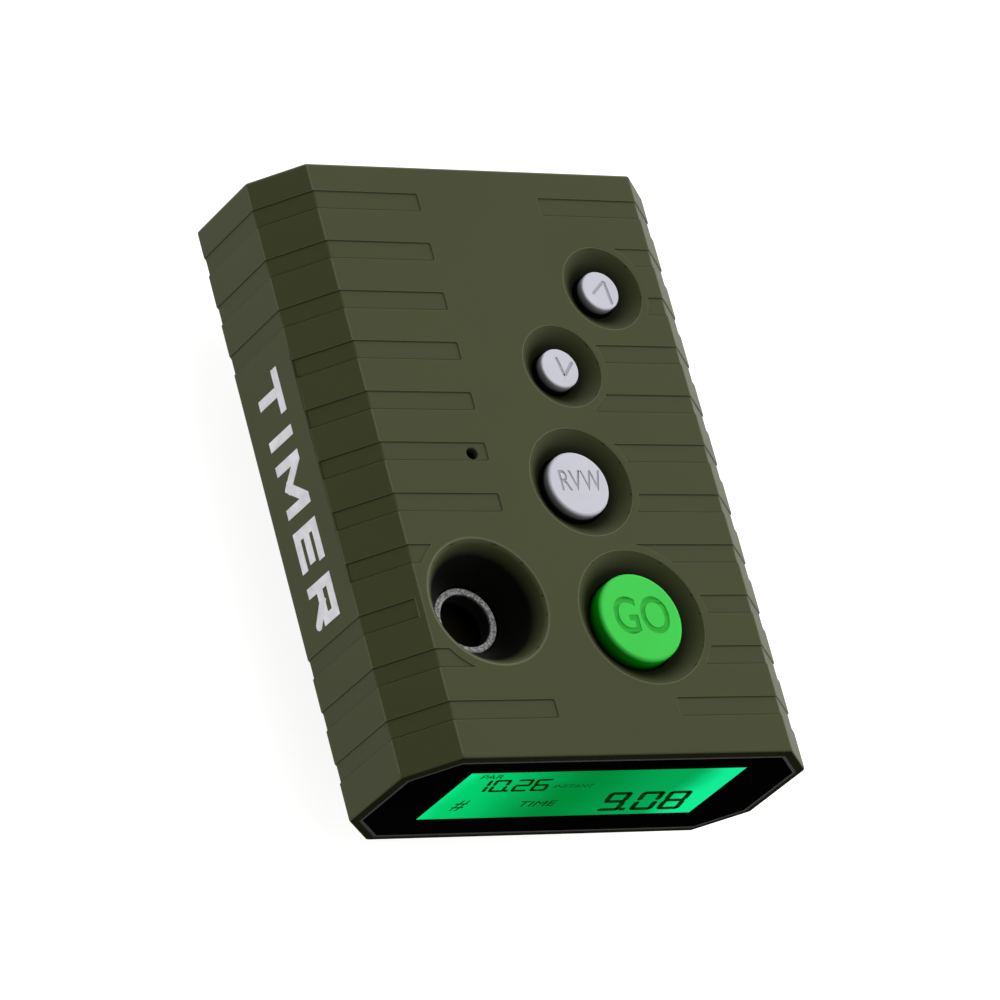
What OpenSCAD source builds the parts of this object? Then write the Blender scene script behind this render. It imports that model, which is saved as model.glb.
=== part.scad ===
// Handheld shot timer: a rubber-sleeved plastic case that lies on its back, with its display in
// the -Y end face, its battery door in the +Y end face and a sprung belt clip underneath.
// Origin: centre of the belt clip's outer face. Millimetres, +Z out of the button face.

/* [Body] */
// Width over the rubber sleeve
body_w = 75; // [75:0.5:79]
// Length from the display end to the battery end
body_l = 101; // [101:0.5:105]
// Thickness from the back face to the button face
body_t = 30; // [30:0.5:32]
// Leg of the 45 degree chamfer along the four long edges
chamfer = 7.1; // [6.6:0.1:7.1]
// Wall of the rubber sleeve
sleeve_wall = 1.4; // [1.2:0.1:1.4]
// Wall of the plastic case
case_wall = 1.8; // [1.6:0.1:1.8]

/* [Grip bars] */
// Rows of shallow grip pockets along each long edge
bar_rows = 11; // [9:1:11]
// Distance between two rows
bar_pitch = 8.66; // [8.5:0.02:8.7]
// Height of a pocket
bar_h = 3.1; // [2.5:0.1:3.5]
// Depth of a pocket
bar_depth = 0.4; // [0.2:0.1:0.5]
// Distance from the centre line at which the pockets end
bar_inner_x = 11.3; // [10.5:0.1:12]

/* [Buttons] */
// Travel of every button
travel = 0.5; // [0.3:0.05:0.6]
// Gap between a cap and the hole that it moves in
cap_gap = 0.3; // [0.25:0.05:0.35]
// Radius of the start button's cap
go_r = 7.5; // [7.2:0.1:7.6]
// Radius of the review button's cap
review_r = 5.5; // [5.2:0.1:5.6]
// Radius of the two arrow buttons' caps
arrow_r = 3.4; // [3.2:0.1:3.5]

/* [Display] */
// Lit width of the display
lit_w = 51.7; // [48:0.1:52]
// Lit height of the display
lit_h = 17; // [15:0.1:17]
// Thickness of the clear window
window_t = 1.2; // [1.1:0.1:1.5]

/* [Belt clip] */
// Distance from the sleeve's back to the clip's outer face
lift = 9; // [9:0.5:11]
// Width of the clip's arm
clip_w = 22; // [20:1:22]
// Thickness of the clip's arm
clip_t = 1.6; // [1.4:0.1:1.8]

/* [Hidden] */
$fn = 64;
cut = 1; // how far a cutting solid runs past the face that it cuts

// Planes of the case, measured from the sleeve's back face
mid = body_t / 2;
near_y = -body_l / 2;
far_y = body_l / 2;
room_inset = sleeve_wall + case_wall;
case_far = far_y - sleeve_wall;
room_far = case_far - case_wall;
room_z0 = room_inset;
room_z1 = body_t - room_inset;

// Buttons: name, x, y, rim radius of the recess, cap radius, height of the cap's top face
BUTTONS = [
    ["go", 9.15, -27.25, 11.45, go_r, body_t - 0.2],
    ["review", 4.8, -4.2, 9.33, review_r, body_t - 0.7],
    ["down", 7.3, 15.9, 7.23, arrow_r, body_t - 0.7],
    ["up", 19.2, 29.8, 7.34, arrow_r, body_t - 0.7]
];
function b_name(b) = b[0];
function b_at(b) = [b[1], b[2]];
function b_rim(b) = b[3];
function b_cap(b) = b[4];
function b_top(b) = b[5];
function b_hole(b) = b_cap(b) + cap_gap;
b_depth = 3.1; // depth of a button's recess

board_t = 1.6;
board_top = body_t - 11.7;
board_under = board_top - board_t;
well_under = body_t - 5.6;
switch_side = 6;
switch_h = 3.5;
plunger_r = 1.75;
plunger_fit = 0.05;
plunger_sink = 0.9;
flange_h = 1;
flange_lip = 1;
flange_under = well_under - 0.1 - flange_h;

// Buzzer: a sounder with a round neck that shows at the bottom of the deepest recess
buzzer_at = [-18.4, -24.45];
buzzer_rim = 10.33;
buzzer_hole = 5.75;
buzzer_depth = 6.6;
buzzer_r = 9;
buzzer_h = 10;
buzzer_top = body_t - 9;
neck_r = 5.48;
neck_bore = 4.4;
neck_h = 2;
buzzer_wall = 1;

smooth_ring = 1.1; // smooth margin around a button's recess, free of grip pockets
buzzer_smooth_ring = 1.9;
bar_shift = 0.85; // the middle row's distance from the middle of the body
skin_r = 1.7; // radial thickness of the sleeve where it dips into a recess
lip_h = 0.9; // height of the sleeve's edge at the bottom of a recess
well_r = 2.2; // radial thickness of the case around a recess
neck_wall = 1.6; // wall of the case around a cap, below the recess
seat_play = 0.05; // gap between the sleeve's dips and their seats in the case

mic_at = [-14, 0.6];
mic_r = 3;
mic_h = 2.2;
mic_hole_r = 0.95;
boot_wall = 0.8;
mic_under = room_z1 - 2.7;

// Display stack, from the window inwards
pane_t = 0.4;
stack_gap = 0.05;
window_inset = sleeve_wall + 0.5;
window_back = near_y + window_t;
lit_z = mid + 0.3;
glass_w = 58;
glass_h = 22;
glass_t = 2.2;
step_w = lit_w + 1.3;
step_h = lit_h + 1.4;
guide_w = 54;
guide_h = 18;
guide_t = 2.4;
glass_back = window_back + stack_gap + glass_t;
guide_back = glass_back + stack_gap + guide_t;
display_board_y = guide_back + 0.1;
holder_inset = room_inset + 0.1;
connector_h = 1.6;
led_w = 1.2;
led_h = 2.6;
led_t = 1.5;

// Main board
board_x = [-2.5, 33];
wire_gap = 0.1; // gap between a wire's end and the face that it is soldered to
board_y = [-39, 44.5];
BOARD_SCREWS = [[0.6, 41], [0.4, 6.5], [29.4, 8], [-0.2, -36.6]];
board_screw_r = 1;
board_screw_head_r = 1.9;
board_screw_head_h = 1.3;
board_screw_l = 7;
board_boss_r = 2.2;
header_x = 12;
header_pins = 8;
header_pitch = 2.54;
pin_side = 0.64;

// Case screws, put in from the back
CASE_SCREWS = [[-27.4, -38], [-27.4, -9], [27.4, -36], [27.4, 42]];
case_screw_r = 1.25;
case_screw_head_r = 2.2;
case_screw_head_h = 1.6;
case_screw_l = 19;
case_boss_r = 2.8;
screw_play = 0.15;
tongue_h = 1;
tongue_inset = sleeve_wall + 0.9;
tongue_play = 0.05;

// Battery: a 9 V block, put in through the far end
battery_w = 26.5;
battery_t = 17.5;
battery_l = 46.4;
battery_x = -18.35;
battery_far = room_far - 0.5;
battery_near = battery_far - battery_l;
stud_pitch = 12.7;
stud_h = 2.4;
stud_r = 2.9;
crown_r = 4.3;
crown_bore = 3.2;
snap_w = 24.5;
snap_h = 12;
snap_t = 2.9;
snap_face = battery_near - stud_h - 0.1;
rib_t = 1.2;
bay_wall_x = -4.7;

// Battery door, hinged along its lower edge
opening_w = 27.1;
opening_z = [6, 24];
plug_play = 0.3;
plug_t = 1.6;
door_w = 30.1;
door_z = [5.9, 25.2];
door_corner = 2;
door_play = 0.3;
door_sill = 0.7; // gap under the door, through which its lower edge swings
hinge_y = far_y - 1.3;
hinge_z = 4.2;
knuckle_r = 1.25;
knuckle_gap = 0.2;
door_knuckle_w = 12;
shell_knuckle_w = 4;
hinge_w = door_knuckle_w + 2 * (shell_knuckle_w + knuckle_gap);
door_pin_r = 0.6;
pin_fit = 0.05;
window_low_z = 2.2;

// Belt clip: positions are measured from the sleeve's back face, so they are below zero
pivot_y = -25;
pivot_z = -4.8;
pivot_r = 1.2;
ear_r = 2.4;
ear_t = 1.8;
ear_gap = 0.2;
base_w = 28;
base_y = [-35, -15];
base_under = -0.5;
flange_t = 1.5;
arm_near = -38;
arm_bend = 16.5;
arm_tip = 28.5;
CLIP_SCREWS = [[-7.5, -17.6], [7.5, -17.6], [-7.5, -32.4], [7.5, -32.4]];
clip_screw_r = 1.1;
clip_screw_head_r = 2.1;
clip_screw_head_h = 1;
clip_screw_l = 8.5;
clip_boss_r = 2.6;
spring_r = 2.1;
spring_wire_r = 0.4;
spring_half = 3.2;
spring_turns = 5.5;
spring_leg_y = -17;

// ---------- shapes that repeat ----------

// Outline of the body in X and Z, drawn in by an inset on every side
function octagon(inset) = let (
    w = body_w / 2 - inset,
    t = body_t / 2 - inset,
    c = chamfer - (2 - sqrt(2)) * inset
) [
    [-w + c, mid - t], [w - c, mid - t], [w, mid - t + c], [w, mid + t - c],
    [w - c, mid + t], [-w + c, mid + t], [-w, mid + t - c], [-w, mid - t + c]
];

// Everything but the clip's outer face is drawn from the sleeve's back face
module raised() {
    translate([0, 0, lift]) children();
}

// Extrudes an X-Z outline along Y
module along_y(y0, y1) {
    translate([0, y1, 0]) rotate([90, 0, 0]) linear_extrude(y1 - y0) children();
}

module prism(inset, y0, y1) {
    along_y(y0, y1) polygon(octagon(inset));
}

// Extrudes a Y-Z outline along X, centred
module along_x(x0, x1) {
    translate([x0, 0, 0]) rotate([90, 0, 90]) linear_extrude(x1 - x0) children();
}

module block(x, y, z) {
    translate([x[0], y[0], z[0]]) cube([x[1] - x[0], y[1] - y[0], z[1] - z[0]]);
}

module rod_x(r, x0, x1) {
    translate([x0, 0, 0]) rotate([0, 90, 0]) cylinder(h = x1 - x0, r = r);
}

module post(at, r, z0, z1) {
    translate([at[0], at[1], z0]) cylinder(h = z1 - z0, r = r);
}

// Rectangle with cut corners, centred on x, from z0 to z1
module cut_corner_plate(w, z, corner) {
    x = w / 2;
    polygon([
        [-x + corner, z[0]], [x - corner, z[0]], [x, z[0] + corner], [x, z[1] - corner],
        [x - corner, z[1]], [-x + corner, z[1]], [-x, z[1] - corner], [-x, z[0] + corner]
    ]);
}

// Cone of a recess, from the hole at its bottom to its rim, grown by a radial margin
module recess_cone(at, rim, hole, depth, margin, z0, z1) {
    slope = (rim - hole) / depth;
    foot = body_t - depth;
    translate([at[0], at[1], z0]) cylinder(
        h = z1 - z0,
        r1 = hole + slope * (z0 - foot) + margin,
        r2 = hole + slope * (z1 - foot) + margin
    );
}

// What the finger sees: an open cone with a straight hole below it
module recess_cut(at, rim, hole, depth) {
    recess_cone(at, rim, hole, depth, 0, body_t - depth, body_t + cut);
    post(at, hole, body_t - depth - lip_h - cut, body_t - depth + 0.01);
}

// The sleeve's own wall where it dips into the recess; with play, the seat for it in the case
module recess_cup(at, rim, hole, depth, play = 0) {
    recess_cone(
        at, rim, hole, depth, skin_r + play, body_t - depth - lip_h - play, body_t - sleeve_wall + play
    );
}

// The case's wall behind that dip, with a straight neck below it
module recess_well(at, rim, hole, depth, under) {
    foot = body_t - depth;
    recess_cone(at, rim, hole, depth, skin_r + well_r, foot - lip_h - 1, body_t - sleeve_wall - 0.2);
    post(at, hole + neck_wall, under, foot);
}

// Countersunk or flat-headed screw pointing up, its head's outer face at z = 0
module screw(r, head_r, head_h, l, countersunk) {
    slot_w = head_r * 0.35;
    difference() {
        union() {
            cylinder(h = head_h, r1 = head_r, r2 = countersunk ? r : head_r);
            cylinder(h = l, r = r);
        }
        for (turn = [0, 90]) rotate(turn)
            translate([-head_r * 0.6, -slot_w / 2, -cut])
            cube([head_r * 1.2, slot_w, cut + head_h * 0.55]);
    }
}

// Wires: a round section swept along a path of points
function unit(v) = v / norm(v);
function bezier(p, t) =
    pow(1 - t, 3) * p[0] + 3 * pow(1 - t, 2) * t * p[1]
    + 3 * (1 - t) * t * t * p[2] + pow(t, 3) * p[3];
function curve(p, steps = 12) = [for (i = [0 : steps]) bezier(p, i / steps)];

module swept_wire(path, r, up, sides = 8) {
    last = len(path) - 1;
    rings = [for (i = [0 : last]) let (
        along = unit(path[min(i + 1, last)] - path[max(i - 1, 0)]),
        side = unit(cross(along, up)),
        over = cross(side, along)
    ) for (k = [0 : sides - 1]) let (a = 360 * k / sides)
        path[i] + r * (cos(a) * side + sin(a) * over)
    ];
    walls = [for (i = [0 : last - 1], k = [0 : sides - 1]) let (
        a = i * sides + k,
        b = i * sides + (k + 1) % sides
    ) each [[a, a + sides, b], [b, a + sides, b + sides]]];
    start = [for (k = [0 : sides - 1]) k];
    end = [for (k = [sides - 1 : -1 : 0]) last * sides + k];
    polyhedron(points = rings, faces = concat([start, end], walls));
}

// ---------- sleeve and case ----------

// Keeps the pockets off a recess and out of the space between it and the centre line
module clear_of_recess(at, r) {
    post(at, r, 0, body_t + cut);
    block([min(at[0], 0), max(at[0], 0)], [at[1] - r, at[1] + r], [0, body_t + cut]);
}

// One row of grip pockets; the side is -1 on the left and 1 on the right
module grip_row(side, y) {
    reach = body_w / 2 + cut;
    x = side < 0 ? [-reach, -bar_inner_x] : [bar_inner_x, reach];
    difference() {
        block(x, [y - bar_h / 2, y + bar_h / 2], [sleeve_wall + chamfer / 2, body_t + cut]);
        prism(bar_depth, y - bar_h, y + bar_h);
        clear_of_recess(buzzer_at, buzzer_rim + buzzer_smooth_ring);
        for (b = BUTTONS) clear_of_recess(b_at(b), b_rim(b) + smooth_ring);
        block([-body_w / 2 + chamfer, 0], [buzzer_at[1] - bar_h, buzzer_at[1] + bar_h], [0, body_t + cut]);
    }
}

// The left side keeps a smooth field in its middle, where the name panel is printed
module name_field() {
    block([-body_w, -body_w / 2 + bar_depth + 0.2], [-23.5, 23.5], [0, body_t - chamfer]);
}

module grip_pockets() {
    first = (bar_rows - 1) / 2 * bar_pitch + bar_shift;
    difference() {
        for (k = [0 : bar_rows - 1], side = [-1, 1]) grip_row(side, first - k * bar_pitch);
        name_field();
    }
}

module door_window() {
    translate([battery_x, 0, 0]) along_y(case_far - cut, far_y + cut)
        cut_corner_plate(door_w + 2 * door_play, [door_z[0] - door_sill, door_z[1] + door_play], door_corner);
    block(
        [battery_x - hinge_w / 2 - door_play, battery_x + hinge_w / 2 + door_play],
        [case_far - cut, far_y + cut],
        [window_low_z, door_z[0] + door_corner]
    );
}

module sleeve() {
    color("darkolivegreen") raised() difference() {
        union() {
            difference() {
                prism(0, near_y, far_y);
                prism(sleeve_wall, near_y - cut, case_far);
            }
            for (b = BUTTONS) recess_cup(b_at(b), b_rim(b), b_hole(b), b_depth);
            recess_cup(buzzer_at, buzzer_rim, buzzer_hole, buzzer_depth);
        }
        for (b = BUTTONS) recess_cut(b_at(b), b_rim(b), b_hole(b), b_depth);
        recess_cut(buzzer_at, buzzer_rim, buzzer_hole, buzzer_depth);
        post(mic_at, mic_hole_r, body_t - sleeve_wall - cut, body_t + cut);
        grip_pockets();
        door_window();
        block(
            [-base_w / 2 - door_play, base_w / 2 + door_play],
            [base_y[0] - door_play, base_y[1] + door_play],
            [-cut, sleeve_wall + cut / 2]
        );
    }
}

// The case as one tube, before it is parted into two shells
module case_tube() {
    difference() {
        prism(sleeve_wall, near_y, case_far);
        prism(room_inset, near_y - cut, room_far);
        prism(window_inset, near_y - cut, window_back);
        block(
            [battery_x - opening_w / 2, battery_x + opening_w / 2],
            [room_far - cut, case_far + cut],
            opening_z
        );
    }
}

// The space above the parting line, with the tongue that reaches into the rear shell
module above_parting(inset, drop) {
    block([-body_w, body_w], [-body_l, body_l], [mid, body_t + cut]);
    intersection() {
        prism(inset, near_y - cut, far_y - inset);
        block([-body_w, body_w], [window_back, body_l], [mid - drop, mid + cut]);
    }
}

module front_shell() {
    color("dimgray") raised() difference() {
        union() {
            intersection() {
                case_tube();
                above_parting(tongue_inset + tongue_play, tongue_h - tongue_play);
            }
            for (b = BUTTONS) recess_well(b_at(b), b_rim(b), b_hole(b), b_depth, well_under);
            recess_well(buzzer_at, buzzer_rim, buzzer_hole, buzzer_depth, buzzer_top + 0.1);
            post(buzzer_at, buzzer_r + rib_t, buzzer_top - 4, body_t - sleeve_wall - 0.2);
            for (p = CASE_SCREWS) post(p, case_boss_r, mid, room_z1 + 0.2);
            for (p = BOARD_SCREWS) post(p, board_boss_r, board_top, room_z1 + 0.2);
            block([bay_wall_x, bay_wall_x + rib_t], [9, room_far + 0.2], [mid, room_z1 + 0.2]);
        }
        for (b = BUTTONS) {
            recess_cup(b_at(b), b_rim(b), b_hole(b), b_depth, seat_play);
            post(b_at(b), b_hole(b), well_under - cut, body_t);
        }
        recess_cup(buzzer_at, buzzer_rim, buzzer_hole, buzzer_depth, seat_play);
        post(buzzer_at, buzzer_hole, buzzer_top, body_t);
        post(buzzer_at, buzzer_r + 0.1, buzzer_top - 4 - cut, buzzer_top + 0.1);
        post(mic_at, mic_hole_r, room_z1 - cut, body_t);
        for (p = CASE_SCREWS) post(p, case_screw_r, mid - cut, sleeve_wall + case_screw_l + 0.5);
        for (p = BOARD_SCREWS)
            post(p, board_screw_r, board_top - cut, board_under - board_screw_head_h + board_screw_l + 0.4);
    }
}

module shell_knuckles() {
    for (side = [-1, 1]) {
        x = battery_x + side * (door_knuckle_w / 2 + knuckle_gap + shell_knuckle_w / 2);
        translate([0, hinge_y, hinge_z]) rod_x(knuckle_r, x - shell_knuckle_w / 2, x + shell_knuckle_w / 2);
    }
}

module rear_shell() {
    foot = room_z0 - 0.2;
    bay_x0 = battery_x - battery_w / 2;
    color("dimgray") raised() difference() {
        union() {
            difference() {
                case_tube();
                above_parting(tongue_inset, tongue_h);
            }
            for (p = CASE_SCREWS) post(p, case_boss_r, foot, mid);
            for (p = CLIP_SCREWS) post(p, clip_boss_r, foot, clip_screw_l + 0.8);
            block([bay_wall_x, bay_wall_x + rib_t], [-5.4, room_far + 0.2], [foot, mid]);
            block([bay_x0, bay_wall_x + rib_t], [-6.6, -5.4], [foot, 12]);
            for (y = [8, 36]) block([bay_x0 + 4, bay_wall_x], [y, y + rib_t], [foot, mid - battery_t / 2]);
            shell_knuckles();
        }
        for (p = CASE_SCREWS) {
            post(p, case_screw_r + screw_play, 0, mid + cut);
            post(p, case_screw_head_r + screw_play, 0, sleeve_wall + case_screw_head_h + screw_play);
        }
        for (p = CLIP_SCREWS) post(p, clip_screw_r, 0, clip_screw_l);
        translate([0, hinge_y, hinge_z]) {
            rod_x(
                knuckle_r + knuckle_gap,
                battery_x - door_knuckle_w / 2 - knuckle_gap,
                battery_x + door_knuckle_w / 2 + knuckle_gap
            );
            rod_x(door_pin_r, battery_x - hinge_w / 2 - cut, battery_x + hinge_w / 2 + cut);
        }
    }
}

module case_screws() {
    color("silver") raised() for (p = CASE_SCREWS) translate([p[0], p[1], sleeve_wall + 0.05])
        screw(case_screw_r, case_screw_head_r, case_screw_head_h, case_screw_l, false);
}

module board_screws() {
    color("silver") raised() for (p = BOARD_SCREWS)
        translate([p[0], p[1], board_under - board_screw_head_h])
        screw(board_screw_r, board_screw_head_r, board_screw_head_h, board_screw_l, false);
}

// ---------- display ----------

module centred_plate(w, h, y0, y1) {
    block([-w / 2, w / 2], [y0, y1], [lit_z - h / 2, lit_z + h / 2]);
}

module display_window() {
    color("black") raised() difference() {
        prism(window_inset + stack_gap, near_y, window_back);
        centred_plate(step_w + 0.2, step_h + 0.2, near_y + pane_t, window_back + cut);
    }
}

module lcd_glass() {
    color("lightgreen") raised() {
        centred_plate(step_w, step_h, near_y + pane_t + stack_gap, window_back + stack_gap + 0.2);
        centred_plate(glass_w, glass_h, window_back + stack_gap, glass_back);
    }
}

module display_holder() {
    color("dimgray") raised() difference() {
        prism(holder_inset, window_back + stack_gap, guide_back);
        centred_plate(glass_w + 0.2, glass_h + 0.2, near_y, guide_back + cut);
    }
}

module backlight_guide() {
    color("white") raised() centred_plate(guide_w, guide_h, glass_back + stack_gap, guide_back);
}

module backlight_leds() {
    x = guide_w / 2 + stack_gap;
    color("lime") raised() for (side = [-1, 1], z = [-4.5, 4.5])
        translate([side * (x + led_w / 2), guide_back - led_t / 2, lit_z + z])
        cube([led_w, led_t, led_h], center = true);
}

module lcd_connectors() {
    z = (guide_h + glass_h) / 4;
    color("pink") raised() for (side = [-1, 1])
        translate([-guide_w / 2, glass_back, lit_z + side * z - connector_h / 2])
        cube([guide_w, display_board_y - glass_back, connector_h]);
}

module display_board() {
    color("darkgreen") raised() prism(room_inset + 0.3, display_board_y, display_board_y + board_t);
}

module board_header() {
    back = display_board_y + board_t;
    x0 = header_x - (header_pins - 1) * header_pitch / 2;
    color("dimgray") raised() {
        block(
            [x0 - header_pitch / 2, x0 + (header_pins - 0.5) * header_pitch],
            [back, back + 2.5],
            [board_top - 0.9, board_top + 1.6]
        );
        for (k = [0 : header_pins - 1])
            translate([x0 + k * header_pitch - pin_side / 2, back + 2, board_top])
            cube([pin_side, 4, pin_side]);
    }
}

// ---------- main board ----------

module main_board() {
    color("darkgreen") raised() difference() {
        block(board_x, board_y, [board_under, board_top]);
        for (p = CASE_SCREWS) post(p, case_boss_r + 0.3, board_under - cut, board_top + cut);
        for (p = BOARD_SCREWS) post(p, board_screw_r + screw_play, board_under - cut, board_top + cut);
    }
}

module processor_chip() {
    side = 10;
    leg_pitch = 0.8;
    color("dimgray") raised() translate([23.5, -10, board_top]) {
        translate([0, 0, 0.85]) cube([side, side, 1.3], center = true);
        for (turn = [0 : 90 : 270], k = [-5 : 5]) rotate(turn)
            translate([side / 2 - 0.1, k * leg_pitch - 0.15, 0]) cube([1.1, 0.3, 0.6]);
    }
}

module capacitors() {
    color("slategray") raised() for (p = [[6, -12], [14, -14]])
        translate([p[0], p[1], board_under - 6]) cylinder(h = 6, r = 2.5);
}

module crystal() {
    color("silver") raised() translate([24, -22.5, board_top + 1]) cube([7, 3.2, 2], center = true);
}

// Small surface-mounted parts in two rows under the board
module smd_parts() {
    color("tan") raised() for (k = [0 : 6], row = [0, 1])
        translate([4 + 3.4 * k, 24 + 5 * row, board_under - 0.6]) cube([2, 1.2, 0.6]);
}

module boost_coil() {
    flange_r = 4;
    core_r = 2.6;
    h = 6;
    color("peru") raised() translate([22, -30, board_under - h]) {
        cylinder(h = 1, r = flange_r);
        cylinder(h = h, r = core_r);
        translate([0, 0, h - 1]) cylinder(h = 1, r = flange_r);
    }
}

// ---------- buttons ----------

module button_cap(b) {
    edge = 0.5;
    body_h = b_top(b) - edge - flange_under - flange_h;
    color(b_name(b) == "go" ? "limegreen" : "ghostwhite") raised()
        translate([b[1], b[2], flange_under]) {
            cylinder(h = flange_h, r = b_hole(b) + flange_lip);
            translate([0, 0, flange_h]) cylinder(h = body_h, r = b_cap(b));
            translate([0, 0, flange_h + body_h]) cylinder(h = edge, r1 = b_cap(b), r2 = b_cap(b) - edge);
        }
}

module plunger(b) {
    color("ivory") raised()
        post(b_at(b), plunger_r, board_top + switch_h - plunger_sink, flange_under);
}

module tact_switch(b) {
    floor_t = switch_h - plunger_sink - travel - 0.1;
    color("gray") raised() translate([b[1], b[2], board_top]) difference() {
        translate([-switch_side / 2, -switch_side / 2, 0]) cube([switch_side, switch_side, switch_h]);
        translate([0, 0, floor_t]) cylinder(h = switch_h, r = plunger_r + plunger_fit);
    }
}

// ---------- sound ----------

module buzzer_body() {
    color("dimgray") raised() translate([buzzer_at[0], buzzer_at[1], buzzer_top - buzzer_h])
        difference() {
            cylinder(h = buzzer_h, r = buzzer_r);
            translate([0, 0, buzzer_wall]) cylinder(h = buzzer_h - 2 * buzzer_wall, r = buzzer_r - buzzer_wall);
            translate([0, 0, buzzer_h / 2]) cylinder(h = buzzer_h, r = neck_bore);
        }
}

module buzzer_ring() {
    color("gray") raised() difference() {
        post(buzzer_at, neck_r, buzzer_top, buzzer_top + neck_h);
        post(buzzer_at, neck_bore, buzzer_top - cut, buzzer_top + neck_h + cut);
    }
}

module buzzer_disc() {
    seat = buzzer_top - buzzer_h + buzzer_wall;
    color("gold") raised() {
        post(buzzer_at, 1.5, seat, seat + 3);
        post(buzzer_at, buzzer_r - buzzer_wall - 0.2, seat + 3, seat + 3.3);
    }
}

module buzzer_leads() {
    color("red") raised() for (side = [-1, 1]) {
        y = buzzer_at[1] + side;
        x = buzzer_at[0] + buzzer_r;
        end_y = y + side * 1.5;
        swept_wire(curve([
            [x, y, 13], [x + 4, y, 13], [-1.2, end_y, 11.5], [-1.2, end_y, board_under - wire_gap]
        ]), 0.5, [0, 1, 0]);
    }
}

module microphone() {
    color("silver") raised() post(mic_at, mic_r, mic_under, mic_under + mic_h);
}

module mic_boot() {
    color("black") raised() difference() {
        post(mic_at, mic_r + boot_wall, mic_under, room_z1);
        post(mic_at, mic_r, mic_under - cut, mic_under + mic_h);
        post(mic_at, mic_hole_r + 0.2, mic_under, room_z1 + cut);
    }
}

module mic_leads() {
    start_z = mic_under - wire_gap;
    color("red") raised() for (k = [0, 1]) {
        x = mic_at[0] - 0.6 + 1.2 * k;
        y = mic_at[1] - 2.3 + 1.1 * k;
        end_y = y - 2 + 0.6 * k;
        swept_wire(curve([
            [x, y, start_z], [x, y, start_z - 2.3], [-1.2, end_y, 23.5], [-1.2, end_y, board_top + wire_gap]
        ]), 0.35, [0, 1, 0]);
    }
}

// ---------- battery ----------

module battery() {
    color("darkslategray") raised() block(
        [battery_x - battery_w / 2, battery_x + battery_w / 2],
        [battery_near, battery_far],
        [mid - battery_t / 2, mid + battery_t / 2]
    );
}

// A round stud and a crown, on the end that faces the display
module stud(r, bore, y0, y1) {
    translate([0, y1, 0]) rotate([90, 0, 0]) difference() {
        cylinder(h = y1 - y0, r = r);
        if (bore > 0) translate([0, 0, -cut]) cylinder(h = y1 - y0 + 2 * cut, r = bore);
    }
}

module battery_terminals() {
    color("silver") raised() {
        translate([battery_x - stud_pitch / 2, 0, mid]) stud(stud_r, 0, battery_near - stud_h, battery_near);
        translate([battery_x + stud_pitch / 2, 0, mid])
            stud(crown_r, crown_bore, battery_near - stud_h, battery_near);
    }
}

module battery_snap() {
    color("black") raised() block(
        [battery_x - snap_w / 2, battery_x + snap_w / 2],
        [snap_face - snap_t, snap_face],
        [mid - snap_h / 2, mid + snap_h / 2]
    );
}

module snap_contacts() {
    color("silver") raised() {
        translate([battery_x + stud_pitch / 2, 0, mid]) stud(stud_r, 0, snap_face, battery_near - 0.1);
        translate([battery_x - stud_pitch / 2, 0, mid])
            stud(crown_r, crown_bore, snap_face, battery_near - 0.1);
    }
}

module battery_leads() {
    y = snap_face - snap_t - wire_gap;
    color("red") raised() for (k = [0, 1]) {
        x = battery_x - 3 + 7 * k;
        end_y = y - 7 + 3.5 * k;
        swept_wire(curve([
            [x, y, 18], [x, y - 5, 18], [-1.2, end_y, 23], [-1.2, end_y, board_top + wire_gap]
        ]), 0.6, [1, 1, 0]);
    }
}

module battery_foam() {
    color("dimgray") raised() block(
        [battery_x - 10, battery_x + 10], [12, 42], [mid + battery_t / 2 + 0.05, room_z1]
    );
}

module battery_door() {
    plate_y = [case_far + 0.05, far_y];
    color("dimgray") raised() difference() {
        union() {
            translate([battery_x, 0, 0]) along_y(plate_y[0], plate_y[1])
                cut_corner_plate(door_w, door_z, door_corner);
            block(
                [battery_x - opening_w / 2 + plug_play, battery_x + opening_w / 2 - plug_play],
                [case_far - plug_t, case_far + cut / 2],
                [opening_z[0] + 0.4, opening_z[1] - 0.5]
            );
            translate([0, hinge_y, hinge_z])
                rod_x(knuckle_r, battery_x - door_knuckle_w / 2, battery_x + door_knuckle_w / 2);
            block(
                [battery_x - door_knuckle_w / 2, battery_x + door_knuckle_w / 2],
                [hinge_y, far_y - 0.1],
                [hinge_z, door_z[0] + cut]
            );
        }
        translate([0, hinge_y, hinge_z]) {
            rod_x(door_pin_r + pin_fit, battery_x - hinge_w, battery_x + hinge_w);
            for (side = [-1, 1]) {
                x = battery_x + side * (door_knuckle_w / 2 + knuckle_gap + shell_knuckle_w / 2);
                half = shell_knuckle_w / 2 + knuckle_gap;
                rod_x(knuckle_r + knuckle_gap, x - half, x + half);
            }
        }
        translate([battery_x, far_y + 3.4, door_z[1]]) rod_x(4.2, -5, 5);
    }
}

module door_pin() {
    color("silver") raised() translate([0, hinge_y, hinge_z])
        rod_x(door_pin_r, battery_x - hinge_w / 2, battery_x + hinge_w / 2);
}

// ---------- belt clip ----------

module clip_ear() {
    polygon([
        [pivot_y - 5, base_under + 0.2], [pivot_y - ear_r, pivot_z],
        [pivot_y + ear_r, pivot_z], [pivot_y + 5, base_under + 0.2]
    ]);
    translate([pivot_y, pivot_z]) circle(r = ear_r);
}

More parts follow.
